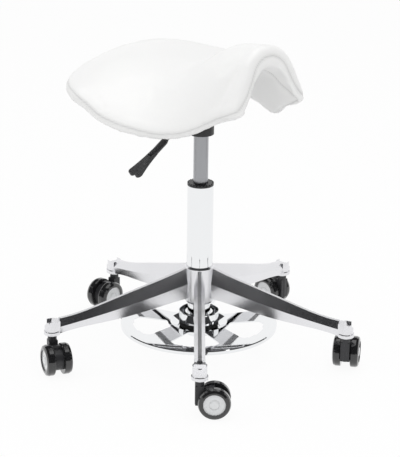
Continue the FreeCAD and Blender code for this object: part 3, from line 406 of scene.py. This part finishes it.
def add_bump(tree, shader, height, strength, distance):
    """Relief on the shader from a height."""
    bump = tree.nodes.new("ShaderNodeBump")
    bump.inputs["Strength"].default_value = strength
    bump.inputs["Distance"].default_value = distance
    tree.links.new(height, bump.inputs["Height"])
    tree.links.new(bump.outputs["Normal"], shader.inputs["Normal"])


def hard_finish(
    name,
    colour,
    roughness,
    spread,
    marks,
    cloud,
    grain,
    relief,
    metallic=0.0,
    stretch=(1.0, 1.0, 1.0),
    coat=None,
):
    """A metal or moulded finish with cloudy colour, handling marks and a fine relief."""
    material, tree, shader = empty_material(name)
    vector = surface_vector(tree, stretch)
    tint = placed_group(
        tree,
        group_once("Cloudy Colour", cloudy_colour_group),
        vector,
        Colour=(*colour, 1.0),
        Scale=9.0,
        Amount=cloud,
    )
    rub = placed_group(
        tree,
        group_once("Handling Marks", handling_group),
        vector,
        Roughness=roughness,
        Spread=spread,
        Scale=marks,
    )
    fine = placed_group(tree, group_once("Fine Grain", fine_grain_group), vector, Scale=grain)
    tree.links.new(tint.outputs["Colour"], shader.inputs["Base Color"])
    tree.links.new(rub.outputs["Roughness"], shader.inputs["Roughness"])
    add_bump(tree, shader, fine.outputs["Height"], relief, RELIEF_DEPTH)
    shader.inputs["Metallic"].default_value = metallic
    if coat is not None:
        shader.inputs["Coat Weight"].default_value, shader.inputs["Coat Roughness"].default_value = coat
    return material


def leather_finish(settings):
    """White leatherette with pebbled grain, and painted shade darkening its drawn-in seams and the grain's
    pores.
    """
    material, tree, shader = empty_material("white_leatherette")
    vector = surface_vector(tree, (1.0, 1.0, 1.0))
    grain = placed_group(
        tree, group_once("Leather Grain", leather_grain_group), vector, Scale=620.0, Crease=0.35
    )
    seam = tree.nodes.new("ShaderNodeAttribute")
    seam.attribute_name = "seam"
    # Painted shade: the grain's pores and the drawn-in seams are darkened in the colour.
    pores = arithmetic(tree, "MULTIPLY", grain.outputs["Pores"], 0.03)
    shade = arithmetic(tree, "MULTIPLY", seam.outputs["Fac"], 0.26)
    painted_shade = arithmetic(tree, "ADD", pores, shade)
    tint = placed_group(
        tree,
        group_once("Cloudy Colour", cloudy_colour_group),
        vector,
        Colour=(*settings.leather, 1.0),
        Scale=7.0,
        Amount=0.035,
    )
    tree.links.new(painted_shade, tint.inputs["Dirt"])
    rub = placed_group(
        tree, group_once("Handling Marks", handling_group), vector, Roughness=0.44, Spread=0.10, Scale=16.0
    )
    tree.links.new(tint.outputs["Colour"], shader.inputs["Base Color"])
    tree.links.new(rub.outputs["Roughness"], shader.inputs["Roughness"])
    add_bump(tree, shader, grain.outputs["Height"], 0.22, 0.0004)
    shader.inputs["Coat Weight"].default_value = 0.12
    shader.inputs["Coat Roughness"].default_value = 0.35
    shader.inputs["IOR"].default_value = 1.48
    return material


def plywood_finish(settings):
    """Beech plies, seen as light and dark layers on the cut edge."""
    material, tree, shader = empty_material("plywood")
    vector = surface_vector(tree, (1.0, 6.0, 40.0))
    plies = placed_group(
        tree,
        group_once("Cloudy Colour", cloudy_colour_group),
        vector,
        Colour=(*settings.wood, 1.0),
        Scale=18.0,
        Amount=0.5,
    )
    fine = placed_group(tree, group_once("Fine Grain", fine_grain_group), vector, Scale=160.0)
    tree.links.new(plies.outputs["Colour"], shader.inputs["Base Color"])
    add_bump(tree, shader, fine.outputs["Height"], 0.2, 0.0003)
    shader.inputs["Roughness"].default_value = 0.62
    return material


def build_finish(slot):
    """The material of one slot."""
    settings = bpy.context.scene.stool
    if slot == "plywood":
        return plywood_finish(settings.finish)
    if slot == "white_leatherette":
        return leather_finish(settings.saddle)
    colour, *values = HARD_FINISHES[slot]
    return hard_finish(
        slot,
        getattr(settings.finish, colour),
        *values,
        metallic=1.0 if slot in METALS else 0.0,
        stretch=TURNED.get(slot, (1.0, 1.0, 1.0)),
        coat=COATS.get(slot),
    )


def finish_for(slot):
    """The slot's material, built once."""
    name = "finish_" + slot
    found = bpy.data.materials.get(name)
    if found is None:
        found = build_finish(slot)
        found.name = name
    return found


def dress(nodes):
    """Gives these CAD nodes the finish of their slot."""
    for node in nodes:
        for place in frame["nodes"][node].material_slots:
            place.material = finish_for(SLOTS[node])


# ---------------------------------------------------------------- meshes


def new_object(name, mesh):
    """An object at the origin, in the scene."""
    piece = bpy.data.objects.new(name, mesh)
    bpy.context.scene.collection.objects.link(piece)
    return piece


def evaluated_mesh(piece):
    """The piece's mesh with its modifiers, as a plain mesh."""
    graph = bpy.context.evaluated_depsgraph_get()
    finished = piece.evaluated_get(graph)
    return bpy.data.meshes.new_from_object(finished, preserve_all_data_layers=True, depsgraph=graph)


def bake_modifiers(piece):
    """Turns the piece's modifiers into its mesh."""
    mesh = evaluated_mesh(piece)
    piece.modifiers.clear()
    piece.data = mesh


def merged_nodes(name, nodes):
    """A copy of these CAD nodes as one object with its doubles merged."""
    merged = bmesh.new()
    for node in nodes:
        merged.from_mesh(frame["nodes"][node].data)
    bmesh.ops.remove_doubles(merged, verts=merged.verts, dist=1e-6)
    mesh = bpy.data.meshes.new(name)
    merged.to_mesh(mesh)
    merged.free()
    mesh.materials.clear()
    return new_object(name, mesh)


def relax(piece, evening, chosen=None):
    """Evens out the steps of the remeshed cells, on the whole skin or where chosen by place."""
    rounds, share = evening
    axes = {"use_axis_x": True, "use_axis_y": True, "use_axis_z": True}
    work = bmesh.new()
    work.from_mesh(piece.data)
    moved = [vertex for vertex in work.verts if chosen is None or chosen(vertex.co)]
    for _ in range(rounds):
        bmesh.ops.smooth_vert(work, verts=moved, factor=share, **axes)
    work.to_mesh(piece.data)
    work.free()


def remesh(piece, cell):
    """One closed skin round the piece."""
    modifier = piece.modifiers.new("Cells", "REMESH")
    modifier.mode = "VOXEL"
    modifier.voxel_size = cell
    modifier.adaptivity = 0.0
    bake_modifiers(piece)


def settle_legs(piece):
    """The padding of the pommel's legs hangs a little lower and wider than its cut form."""
    reach = LEG_REACH * MM
    for vertex in piece.data.vertices:
        side = math.copysign(1.0, vertex.co.y)
        tip = Vector((LEG_TIP[0], side * LEG_TIP[1], LEG_TIP[2])) * MM
        weight = max(0.0, 1.0 - ((vertex.co - tip).length / reach) ** 2) ** 2
        vertex.co += Vector((LEG_MOVE[0], side * LEG_MOVE[1], LEG_MOVE[2])) * MM * weight


def on_nose(place):
    """True where the cover rolls over the front edge."""
    return place.x / MM > nose_place(place.z / MM) - NOSE_ROLL_BACK


def fit_to_form(piece, form):
    """Brings the evened skin back out to the form that it was cut on."""
    outward = [vertex.normal.copy() for vertex in piece.data.vertices]
    for vertex in piece.data.vertices:
        direction = outward[vertex.index]
        hit = form.ray_cast(vertex.co + direction * FORM_REACH, -direction, FORM_REACH * 2)[0]
        if hit is not None:
            vertex.co = vertex.co.lerp(hit, FORM_SHARE)


def inflate(piece, settings):
    """The filling pushes the cover out from its slack cut, and the underside is held by the shell."""
    outward = [vertex.normal.copy() for vertex in piece.data.vertices]
    held = [index for index, normal in enumerate(outward) if normal.z < HELD_LEAN]
    loose = set(range(len(outward))) - set(held)
    for index in loose:
        piece.data.vertices[index].co -= outward[index] * settings.slack
    cut = [vertex.co.copy() for vertex in piece.data.vertices]
    swollen = simulate(piece, settings, held)
    for index in loose:
        push = swollen[index] - cut[index]
        if push.length > settings.swell:
            push = push.normalized() * settings.swell
        piece.data.vertices[index].co = cut[index] + push


def simulate(piece, settings, held):
    """Places of the cover after the cloth simulation."""
    scene = bpy.context.scene
    group = piece.vertex_groups.new(name="held")
    group.add(held, 1.0, "REPLACE")
    cloth = piece.modifiers.new("Cover", "CLOTH")
    cloth.settings.quality = 5
    cloth.settings.mass = 0.3
    cloth.settings.tension_stiffness = 18.0
    cloth.settings.compression_stiffness = 18.0
    cloth.settings.shear_stiffness = 8.0
    cloth.settings.bending_stiffness = 2.0
    cloth.settings.use_pressure = True
    cloth.settings.uniform_pressure_force = settings.pressure
    cloth.settings.effector_weights.gravity = 0.0
    cloth.settings.vertex_group_mass = "held"
    cloth.collision_settings.use_collision = False
    cloth.point_cache.frame_start = 1
    cloth.point_cache.frame_end = settings.frames
    for step in range(1, settings.frames + 1):
        scene.frame_set(step)
    graph = bpy.context.evaluated_depsgraph_get()
    swollen = [vertex.co.copy() for vertex in piece.evaluated_get(graph).data.vertices]
    piece.modifiers.remove(cloth)
    piece.vertex_groups.clear()
    scene.frame_set(1)
    return swollen


# ---------------------------------------------------------------- seam lines


def section_value(place, column):
    """One column of the cross sections at a place along X, on a smooth curve."""
    rows = SADDLE_SECTIONS
    first = max(0, min(len(rows) - 2, sum(1 for row in rows if row[0] <= place) - 1))
    low, high = rows[first], rows[first + 1]
    before, after = rows[max(first - 1, 0)], rows[min(first + 2, len(rows) - 1)]
    span = high[0] - low[0]
    share = (place - low[0]) / span
    slope_low = (high[column] - before[column]) / (high[0] - before[0]) * span
    slope_high = (after[column] - low[column]) / (after[0] - low[0]) * span
    square, cube = share**2, share**3
    return (
        (2 * cube - 3 * square + 1) * low[column]
        + (cube - 2 * square + share) * slope_low
        + (3 * square - 2 * cube) * high[column]
        + (cube - square) * slope_high
    )


def section_point(place, offset):
    """Height and inward direction of the saddle's top at a place along X and an offset along Y."""
    width, ridge, rim = (section_value(place, column) for column in (1, 2, 3))
    drop = ridge - rim
    span = SADDLE_SECTIONS[-1][0] - SADDLE_SECTIONS[0][0]
    along = (place - SADDLE_SECTIONS[0][0]) / span
    share = CROWN_SHARE_BACK + (CROWN_SHARE_FRONT - CROWN_SHARE_BACK) * along
    radius = share * (width**2 + drop**2) / (2 * drop)
    middle = ridge - radius
    reach = math.hypot(width, rim - middle)
    lean = math.atan2(rim - middle, width) + math.acos(min(1.0, radius / reach))
    side = abs(offset)
    touch = radius * math.cos(lean)
    if side <= touch:
        angle = math.acos(side / radius)
        height = middle + radius * math.sin(angle)
    else:
        angle = lean
        height = middle + radius * math.sin(lean) - (side - touch) / math.tan(lean)
    inward = Vector((0.0, -math.copysign(math.cos(angle), offset), -math.sin(angle)))
    return height, inward


def nose_place(height):
    """Where the leaning front face stands at a height."""
    return NOSE_PLACE + NOSE_LEAN * (NOSE_LEVEL - height)


def seam_routes():
    """The upper and the lower seam round the saddle, as closed lists of points in metres."""
    upper, lower = [], []
    for step in range(-FRONT_STEPS, FRONT_STEPS + 1):
        share = step / FRONT_STEPS
        place = NOSE_PLACE
        for _ in range(4):
            offset = share * section_value(place, 1)
            height, inward = section_point(place, offset)
            place = nose_place(height)
        depth = NOSE_DEPTH + (RIM_DEPTH - NOSE_DEPTH) * abs(share) ** DEPTH_FADE
        roll = ROLL_DEPTH * (1 - share**CORNER_FADE)
        top = Vector((place, offset, height))
        middle, under = top + inward * roll, top + inward * depth
        middle.x = nose_place(middle.z)
        under.x = nose_place(under.z) - TUNNEL_DEPTH * (1 - share**CORNER_FADE)
        upper.append(middle)
        lower.append(under)
    corner = place
    side = []
    for step in range(1, SIDE_STEPS):
        place = corner + (REAR_CENTRE - corner) * step / SIDE_STEPS
        width = section_value(place, 1)
        height, inward = section_point(place, width)
        side.append((Vector((place, width, height)), inward))
    left_upper = [point for point, _ in side]
    left_lower = [point + inward * RIM_DEPTH for point, inward in side]
    rear_upper, rear_lower = [], []
    for step in range(REAR_STEPS + 1):
        turn = math.pi * step / REAR_STEPS
        round_x, round_y = -math.sin(turn), math.cos(turn)
        place = REAR_CENTRE + REAR_LENGTH * round_x
        offset = REAR_HALF_WIDTH * round_y
        height, _ = section_point(place, offset)
        shrink = RIM_DRAW * RIM_DEPTH
        rear_upper.append(Vector((place, offset, height)))
        rear_lower.append(Vector((place - shrink * round_x, offset - shrink * round_y, height - RIM_DEPTH)))
    mirror = Vector((1.0, -1.0, 1.0))
    right_upper = [point * mirror for point in reversed(left_upper)]
    right_lower = [point * mirror for point in reversed(left_lower)]
    upper_loop = upper + left_upper + rear_upper + right_upper
    lower_loop = lower + left_lower + rear_lower + right_lower
    return [[point * MM for point in loop] for loop in (upper_loop, lower_loop)]


def even_loop(points, spacing):
    """The closed line with its points at even distances."""
    closed = points + points[:1]
    lengths = [(b - a).length for a, b in zip(closed, closed[1:])]
    count = max(8, round(sum(lengths) / spacing))
    pace = sum(lengths) / count
    spaced, gone, index = [], 0.0, 0
    for step in range(count):
        target = step * pace
        while index < len(lengths) - 1 and gone + lengths[index] < target:
            gone += lengths[index]
            index += 1
        share = (target - gone) / max(lengths[index], 1e-9)
        spaced.append(closed[index].lerp(closed[index + 1], min(1.0, share)))
    return spaced


def on_skin(points, skin, rounds):
    """The line laid on the skin and evened out, with the skin's outward directions."""
    line = list(points)
    for _ in range(rounds):
        line = [skin.find_nearest(point)[0] for point in line]
        count = len(line)
        line = [(line[i - 1] + line[i] * 2 + line[(i + 1) % count]) / 4 for i in range(count)]
    found = [skin.find_nearest(point) for point in line]
    return [hit[0] for hit in found], [hit[1] for hit in found]


def skin_of(piece):
    """A search tree of the piece's faces."""
    work = bmesh.new()
    work.from_mesh(piece.data)
    tree = BVHTree.FromBMesh(work)
    work.free()
    return tree


def draw_in(piece, loops, settings):
    """Pulls the skin in along the seams, lets it puff up beside them, and stores where painted shade darkens
    the seams.
    """
    points = [point for loop in loops for point in loop]
    near = KDTree(len(points))
    for index, point in enumerate(points):
        near.insert(point, index)
    near.balance()
    mesh = piece.data
    outward = [vertex.normal.copy() for vertex in mesh.vertices]
    seam_shade = mesh.attributes.new("seam", "FLOAT", "POINT")
    width, depth = settings.seam_width, settings.seam_depth
    for vertex in mesh.vertices:
        distance = near.find(vertex.co)[2]
        valley = math.exp(-((distance / width) ** 2))
        puff = math.exp(-(((distance - PUFF_PLACE * width) / (PUFF_WIDTH * width)) ** 2))
        vertex.co += outward[vertex.index] * (PUFF_SHARE * depth * puff - depth * valley)
        # Painted shade: the share by which the leather's colour is darkened along the seam.
        seam_shade.data[vertex.index].value = math.exp(-((distance / SEAM_SHADE_WIDTH) ** 2))


# ---------------------------------------------------------------- stitches


def stitch_tree(thread):
    """A row of stitches along a line, turned to the skin that the line lies on."""
    tree = bpy.data.node_groups.new("Stitch Row", "GeometryNodeTree")
    face = tree.interface
    face.new_socket(name="Geometry", in_out="INPUT", socket_type="NodeSocketGeometry")
    for label, default in (("Pitch", 0.0045), ("Length", 0.0034), ("Thickness", 0.0008)):
        socket = face.new_socket(name=label, in_out="INPUT", socket_type="NodeSocketFloat")
        socket.subtype = "DISTANCE"
        socket.default_value = default
    face.new_socket(name="Geometry", in_out="OUTPUT", socket_type="NodeSocketGeometry")
    make, link = tree.nodes.new, tree.links.new
    start, end = make("NodeGroupInput"), make("NodeGroupOutput")

    line = make("GeometryNodeMeshToCurve")
    spaced = make("GeometryNodeResampleCurve")
    spaced.mode = "LENGTH"
    link(start.outputs["Geometry"], line.inputs["Mesh"])
    link(line.outputs["Curve"], spaced.inputs["Curve"])
    link(start.outputs["Pitch"], spaced.inputs["Length"])

    stitch = make("GeometryNodeMeshUVSphere")
    stitch.inputs["Segments"].default_value = 6
    stitch.inputs["Rings"].default_value = 5
    stitch.inputs["Radius"].default_value = 0.5
    size = make("ShaderNodeCombineXYZ")
    link(start.outputs["Length"], size.inputs["X"])
    link(start.outputs["Thickness"], size.inputs["Y"])
    link(start.outputs["Thickness"], size.inputs["Z"])
    shaped = make("GeometryNodeTransform")
    link(stitch.outputs["Mesh"], shaped.inputs["Geometry"])
    link(size.outputs["Vector"], shaped.inputs["Scale"])

    along = make("GeometryNodeInputTangent")
    outward = make("GeometryNodeInputNamedAttribute")
    outward.data_type = "FLOAT_VECTOR"
    outward.inputs["Name"].default_value = "outward"
    turned = make("FunctionNodeAxesToRotation")
    turned.primary_axis = "X"
    turned.secondary_axis = "Z"
    link(along.outputs["Tangent"], turned.inputs["Primary Axis"])
    link(outward.outputs["Attribute"], turned.inputs["Secondary Axis"])

    row = make("GeometryNodeInstanceOnPoints")
    link(spaced.outputs["Curve"], row.inputs["Points"])
    link(shaped.outputs["Geometry"], row.inputs["Instance"])
    link(turned.outputs["Rotation"], row.inputs["Rotation"])
    real = make("GeometryNodeRealizeInstances")
    smooth = make("GeometryNodeSetShadeSmooth")
    paint = make("GeometryNodeSetMaterial")
    paint.inputs["Material"].default_value = thread
    link(row.outputs["Instances"], real.inputs["Geometry"])
    link(real.outputs["Geometry"], smooth.inputs["Geometry"])
    link(smooth.outputs["Geometry"], paint.inputs["Geometry"])
    link(paint.outputs["Geometry"], end.inputs["Geometry"])
    return tree


def set_inputs(modifier, values):
    """Sets a Geometry Nodes modifier's inputs by their sockets' identifiers."""
    for item in modifier.node_group.interface.items_tree:
        if item.item_type == "SOCKET" and item.in_out == "INPUT" and item.name in values:
            modifier[item.identifier] = values[item.name]


def line_mesh(name, loops):
    """Closed edge loops that know the skin's outward direction at each point."""
    mesh = bpy.data.meshes.new(name)
    places, edges, directions = [], [], []
    for points, outward in loops:
        first = len(places)
        places.extend(points)
        directions.extend(outward)
        edges.extend((first + i, first + (i + 1) % len(points)) for i in range(len(points)))
    mesh.from_pydata([tuple(point) for point in places], edges, [])
    layer = mesh.attributes.new("outward", "FLOAT_VECTOR", "POINT")
    for index, direction in enumerate(directions):
        layer.data[index].vector = direction
    return mesh


def beside(points, outward, distance):
    """The line moved sideways over the skin."""
    moved = []
    for index, point in enumerate(points):
        along = (points[(index + 1) % len(points)] - points[index - 1]).normalized()
        moved.append(point + outward[index].cross(along) * distance)
    return moved


# ---------------------------------------------------------------- studio


def add_camera():
    """The camera at the photograph's place, looking the way the photograph does."""
    data = bpy.data.cameras.new("camera")
    data.sensor_width = SENSOR
    data.sensor_fit = "AUTO"
    data.lens = SENSOR * CAMERA_FOCUS / PHOTO_HEIGHT
    data.clip_end = 200.0
    camera = bpy.data.objects.new("camera", data)
    bpy.context.scene.collection.objects.link(camera)
    turn, tip, roll = (math.radians(angle) for angle in (CAMERA_HEADING, CAMERA_TIP, CAMERA_ROLL))
    camera.location = (CAMERA_DISTANCE * math.sin(turn), -CAMERA_DISTANCE * math.cos(turn), CAMERA_HEIGHT)
    ahead = Vector((-math.sin(turn) * math.cos(tip), math.cos(turn) * math.cos(tip), -math.sin(tip)))
    camera.rotation_mode = "QUATERNION"
    camera.rotation_quaternion = ahead.to_track_quat("-Z", "Y") @ Quaternion((0.0, 0.0, 1.0), roll)
    bpy.context.scene.camera = camera


def seen_or_mirrored(tree):
    """1 for rays from the camera, from gloss and through glass, else 0."""
    path = tree.nodes.new("ShaderNodeLightPath")
    first = arithmetic(tree, "ADD", path.outputs["Is Camera Ray"], path.outputs["Is Glossy Ray"])
    both = arithmetic(tree, "ADD", first, path.outputs["Is Transmission Ray"])
    return arithmetic(tree, "MINIMUM", both, 1.0)


def light_room(settings):
    """Level light from all round, and plain white where the room is seen or mirrored."""
    world = bpy.data.worlds.new("studio")
    bpy.context.scene.world = world
    world.use_nodes = True
    tree = world.node_tree
    tree.nodes.clear()
    seen = seen_or_mirrored(tree)
    lift = arithmetic(tree, "MULTIPLY", seen, 1.0 - settings.world)
    strength = arithmetic(tree, "ADD", lift, settings.world)
    back = tree.nodes.new("ShaderNodeBackground")
    back.inputs["Color"].default_value = (1.0, 1.0, 1.0, 1.0)
    output = tree.nodes.new("ShaderNodeOutputWorld")
    tree.links.new(strength, back.inputs["Strength"])
    tree.links.new(back.outputs["Background"], output.inputs["Surface"])


def add_floor(settings):
    """A round pale floor that keeps the object's shadow."""
    mesh = bpy.data.meshes.new("floor")
    work = bmesh.new()
    bmesh.ops.create_circle(work, cap_ends=True, segments=96, radius=settings.floor)
    work.to_mesh(mesh)
    work.free()
    floor = new_object("floor", mesh)
    floor.location.z = -FLOOR_DROP
    material = bpy.data.materials.new("studio_floor")
    material.use_nodes = True
    tree = material.node_tree
    tree.nodes.clear()
    paper = tree.nodes.new("ShaderNodeBsdfDiffuse")
    paper.inputs["Color"].default_value = (0.92, 0.92, 0.92, 1.0)
    glow = tree.nodes.new("ShaderNodeEmission")
    glow.inputs["Strength"].default_value = 1.0
    mix = tree.nodes.new("ShaderNodeMixShader")
    share = arithmetic(tree, "MULTIPLY", seen_or_mirrored(tree), settings.floor_white)
    output = tree.nodes.new("ShaderNodeOutputMaterial")
    tree.links.new(share, mix.inputs["Fac"])
    tree.links.new(paper.outputs["BSDF"], mix.inputs[1])
    tree.links.new(glow.outputs["Emission"], mix.inputs[2])
    tree.links.new(mix.outputs["Shader"], output.inputs["Surface"])
    floor.data.materials.append(material)


def add_cards(settings):
    """Dark cards round the set, seen only as reflections in the metal."""
    work = bmesh.new()
    above = Matrix.Translation((0.0, 0.0, settings.ceiling))
    bmesh.ops.create_circle(work, cap_ends=True, segments=48, radius=CEILING_RADIUS, matrix=above)
    for heading, width, distance, low, high in CARDS:
        rows = []
        for step in range(CARD_STEPS + 1):
            angle = math.radians(heading - width / 2 + width * step / CARD_STEPS)
            x, y = distance * math.cos(angle), distance * math.sin(angle)
            rows.append((work.verts.new((x, y, low)), work.verts.new((x, y, high))))
        for (a, b), (c, d) in zip(rows, rows[1:]):
            work.faces.new((a, c, d, b))
    mesh = bpy.data.meshes.new("dark_cards")
    work.to_mesh(mesh)
    work.free()
    cards_piece = new_object("dark_cards", mesh)
    material = bpy.data.materials.new("studio_card")
    material.use_nodes = True
    shader = material.node_tree.nodes["Principled BSDF"]
    shader.inputs["Base Color"].default_value = (*settings.card, 1.0)
    shader.inputs["Roughness"].default_value = 0.9
    mesh.materials.append(material)
    cards_piece.visible_camera = False
    cards_piece.visible_diffuse = False
    cards_piece.visible_transmission = False
    cards_piece.visible_shadow = False


def add_lamp(name, place, size, power, mirrored):
    """A soft square lamp that looks at the middle of the object."""
    data = bpy.data.lights.new(name, "AREA")
    data.shape = "SQUARE"
    data.size = size
    data.energy = power
    lamp = bpy.data.objects.new(name, data)
    lamp.location = place
    lamp.rotation_mode = "QUATERNION"
    lamp.rotation_quaternion = (Vector(LAMP_AIM) - Vector(place)).to_track_quat("-Z", "Y")
    lamp.visible_glossy = mirrored
    bpy.context.scene.collection.objects.link(lamp)


# ---------------------------------------------------------------- operators


class STOOL_OT_stage(Operator):
    """Camera, white room, floor, lamps and dark cards"""

    bl_idname = "stool.stage"
    bl_label = "Studio"

    def execute(self, context):
        settings = context.scene.stool.studio
        context.scene.view_settings.view_transform = "Standard"
        add_camera()
        light_room(settings)
        add_floor(settings)
        add_cards(settings)
        for name, (place, size, mirrored) in LAMPS.items():
            add_lamp(name + "_lamp", place, size, getattr(settings, name), mirrored)
        return {"FINISHED"}


class STOOL_OT_base(Operator):
    """Polished star base with its clamp, screws, seal and ball"""

    bl_idname = "stool.base"
    bl_label = "Star base"

    def execute(self, context):
        dress(("star_base", "foot_clamp", "clamp_screws", "seal_ring", "pivot_ball"))
        return {"FINISHED"}


class STOOL_OT_column(Operator):
    """Chromed outer tube, gas cylinder and what is inside them"""

    bl_idname = "stool.column"
    bl_label = "Gas column"

    def execute(self, context):
        dress(("outer_tube", "column_collar", "guide_bush", "thrust_bearing", "piston_rod"))
        dress(("rod_clip", "rod_bumper", "release_pin", "gas_cylinder"))
        return {"FINISHED"}


class STOOL_OT_foot_ring(Operator):
    """Chromed rocking foot ring with its liner and push cap"""

    bl_idname = "stool.foot_ring"
    bl_label = "Foot ring"

    def execute(self, context):
        dress(("foot_ring", "pivot_liner", "push_cap"))
        return {"FINISHED"}


class STOOL_OT_castors(Operator):
    """Five twin-wheel castors"""

    bl_idname = "stool.castors"
    bl_label = "Castors"

    def execute(self, context):
        dress([node for node in SLOTS if node.startswith("castor_")])
        return {"FINISHED"}


class STOOL_OT_lever(Operator):
    """Tilt lever with its pivot and grip"""

    bl_idname = "stool.lever"
    bl_label = "Tilt lever"

    def execute(self, context):
        dress(("lever_pivot", "lever_rod", "lever_grip"))
        return {"FINISHED"}


class STOOL_OT_seat_frame(Operator):
    """Tilt bracket, seat plate, fasteners and plywood shell"""

    bl_idname = "stool.seat_frame"
    bl_label = "Seat frame"

    def execute(self, context):
        dress(("tilt_bracket", "tilt_pin", "seat_plate", "seat_bolts", "t_nuts", "seat_shell"))
        dress(("seat_foam", "seat_cover", "side_band", "under_cover"))
        return {"FINISHED"}


class STOOL_OT_saddle(Operator):
    """Padded saddle with its drawn-in seams"""

    bl_idname = "stool.saddle"
    bl_label = "Saddle"

    def execute(self, context):
        settings = context.scene.stool.saddle
        pad = merged_nodes("saddle_pad", ("seat_cover", "seat_foam", "seat_shell", "side_band", "under_cover"))
        form = skin_of(pad)
        remesh(pad, settings.voxel)
        relax(pad, FIRST_EVENING)
        fit_to_form(pad, form)
        relax(pad, LAST_EVENING)
        relax(pad, NOSE_EVENING, on_nose)
        settle_legs(pad)
        inflate(pad, settings)
        modifier = pad.modifiers.new("Smooth", "SUBSURF")
        modifier.levels = 1
        modifier.render_levels = 1
        bake_modifiers(pad)
        skin = skin_of(pad)
        loops = [on_skin(even_loop(route, LINE_SPACING), skin, LINE_ROUNDS)[0] for route in seam_routes()]
        draw_in(pad, [even_loop(loop, VALLEY_SPACING) for loop in loops], settings)
        pad.data.shade_smooth()
        pad.data.materials.clear()
        pad.data.materials.append(finish_for("white_leatherette"))
        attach(pad, "seat")
        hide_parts("seat_cover", "seat_foam", "seat_shell", "side_band", "under_cover")
        return {"FINISHED"}


class STOOL_OT_stitching(Operator):
    """Rows of stitches on both sides of the saddle's seams"""

    bl_idname = "stool.stitching"
    bl_label = "Stitching"

    def execute(self, context):
        settings = context.scene.stool.saddle
        skin = skin_of(bpy.data.objects["saddle_pad"])
        rows = []
        for route in seam_routes():
            points, outward = on_skin(even_loop(route, LINE_SPACING), skin, LINE_ROUNDS)
            for side in (-1.0, 1.0):
                row = beside(points, outward, side * settings.row_gap)
                rows.append(on_skin(row, skin, ROW_ROUNDS))
        thread = hard_finish("finish_thread", settings.thread, 0.6, 0.1, 60.0, 0.1, 2500.0, 0.5)
        stitches = new_object("saddle_stitching", line_mesh("saddle_stitching", rows))
        modifier = stitches.modifiers.new("Stitches", "NODES")
        modifier.node_group = stitch_tree(thread)
        set_inputs(
            modifier,
            {"Pitch": settings.pitch, "Length": settings.stitch, "Thickness": settings.thickness},
        )
        bake_modifiers(stitches)
        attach(stitches, "seat")
        return {"FINISHED"}


OPERATORS = (
    STOOL_OT_stage,
    STOOL_OT_base,
    STOOL_OT_column,
    STOOL_OT_foot_ring,
    STOOL_OT_castors,
    STOOL_OT_lever,
    STOOL_OT_seat_frame,
    STOOL_OT_saddle,
    STOOL_OT_stitching,
)


class STOOL_PT_panel(Panel):
    """Builds the stool piece by piece"""

    bl_idname = "STOOL_PT_panel"
    bl_label = "Saddle stool"
    bl_space_type = "VIEW_3D"
    bl_region_type = "UI"
    bl_category = "Stool"

    def draw(self, context):
        for operator in OPERATORS:
            self.layout.operator(operator.bl_idname)
        for label, settings in (
            ("Saddle", context.scene.stool.saddle),
            ("Finishes", context.scene.stool.finish),
            ("Studio", context.scene.stool.studio),
        ):
            box = self.layout.box()
            box.label(text=label)
            for name in settings.__annotations__:
                box.prop(settings, name)


CLASSES = (SaddleSettings, FinishSettings, StudioSettings, StoolSettings, *OPERATORS, STOOL_PT_panel)


def register():
    for cls in CLASSES:
        bpy.utils.register_class(cls)
    bpy.types.Scene.stool = PointerProperty(type=StoolSettings)


def unregister():
    del bpy.types.Scene.stool
    for cls in reversed(CLASSES):
        bpy.utils.unregister_class(cls)


def main():
    register()
    for operator in OPERATORS:
        getattr(bpy.ops.stool, operator.bl_idname.split(".")[1])()


if __name__ == "__main__":
    main()
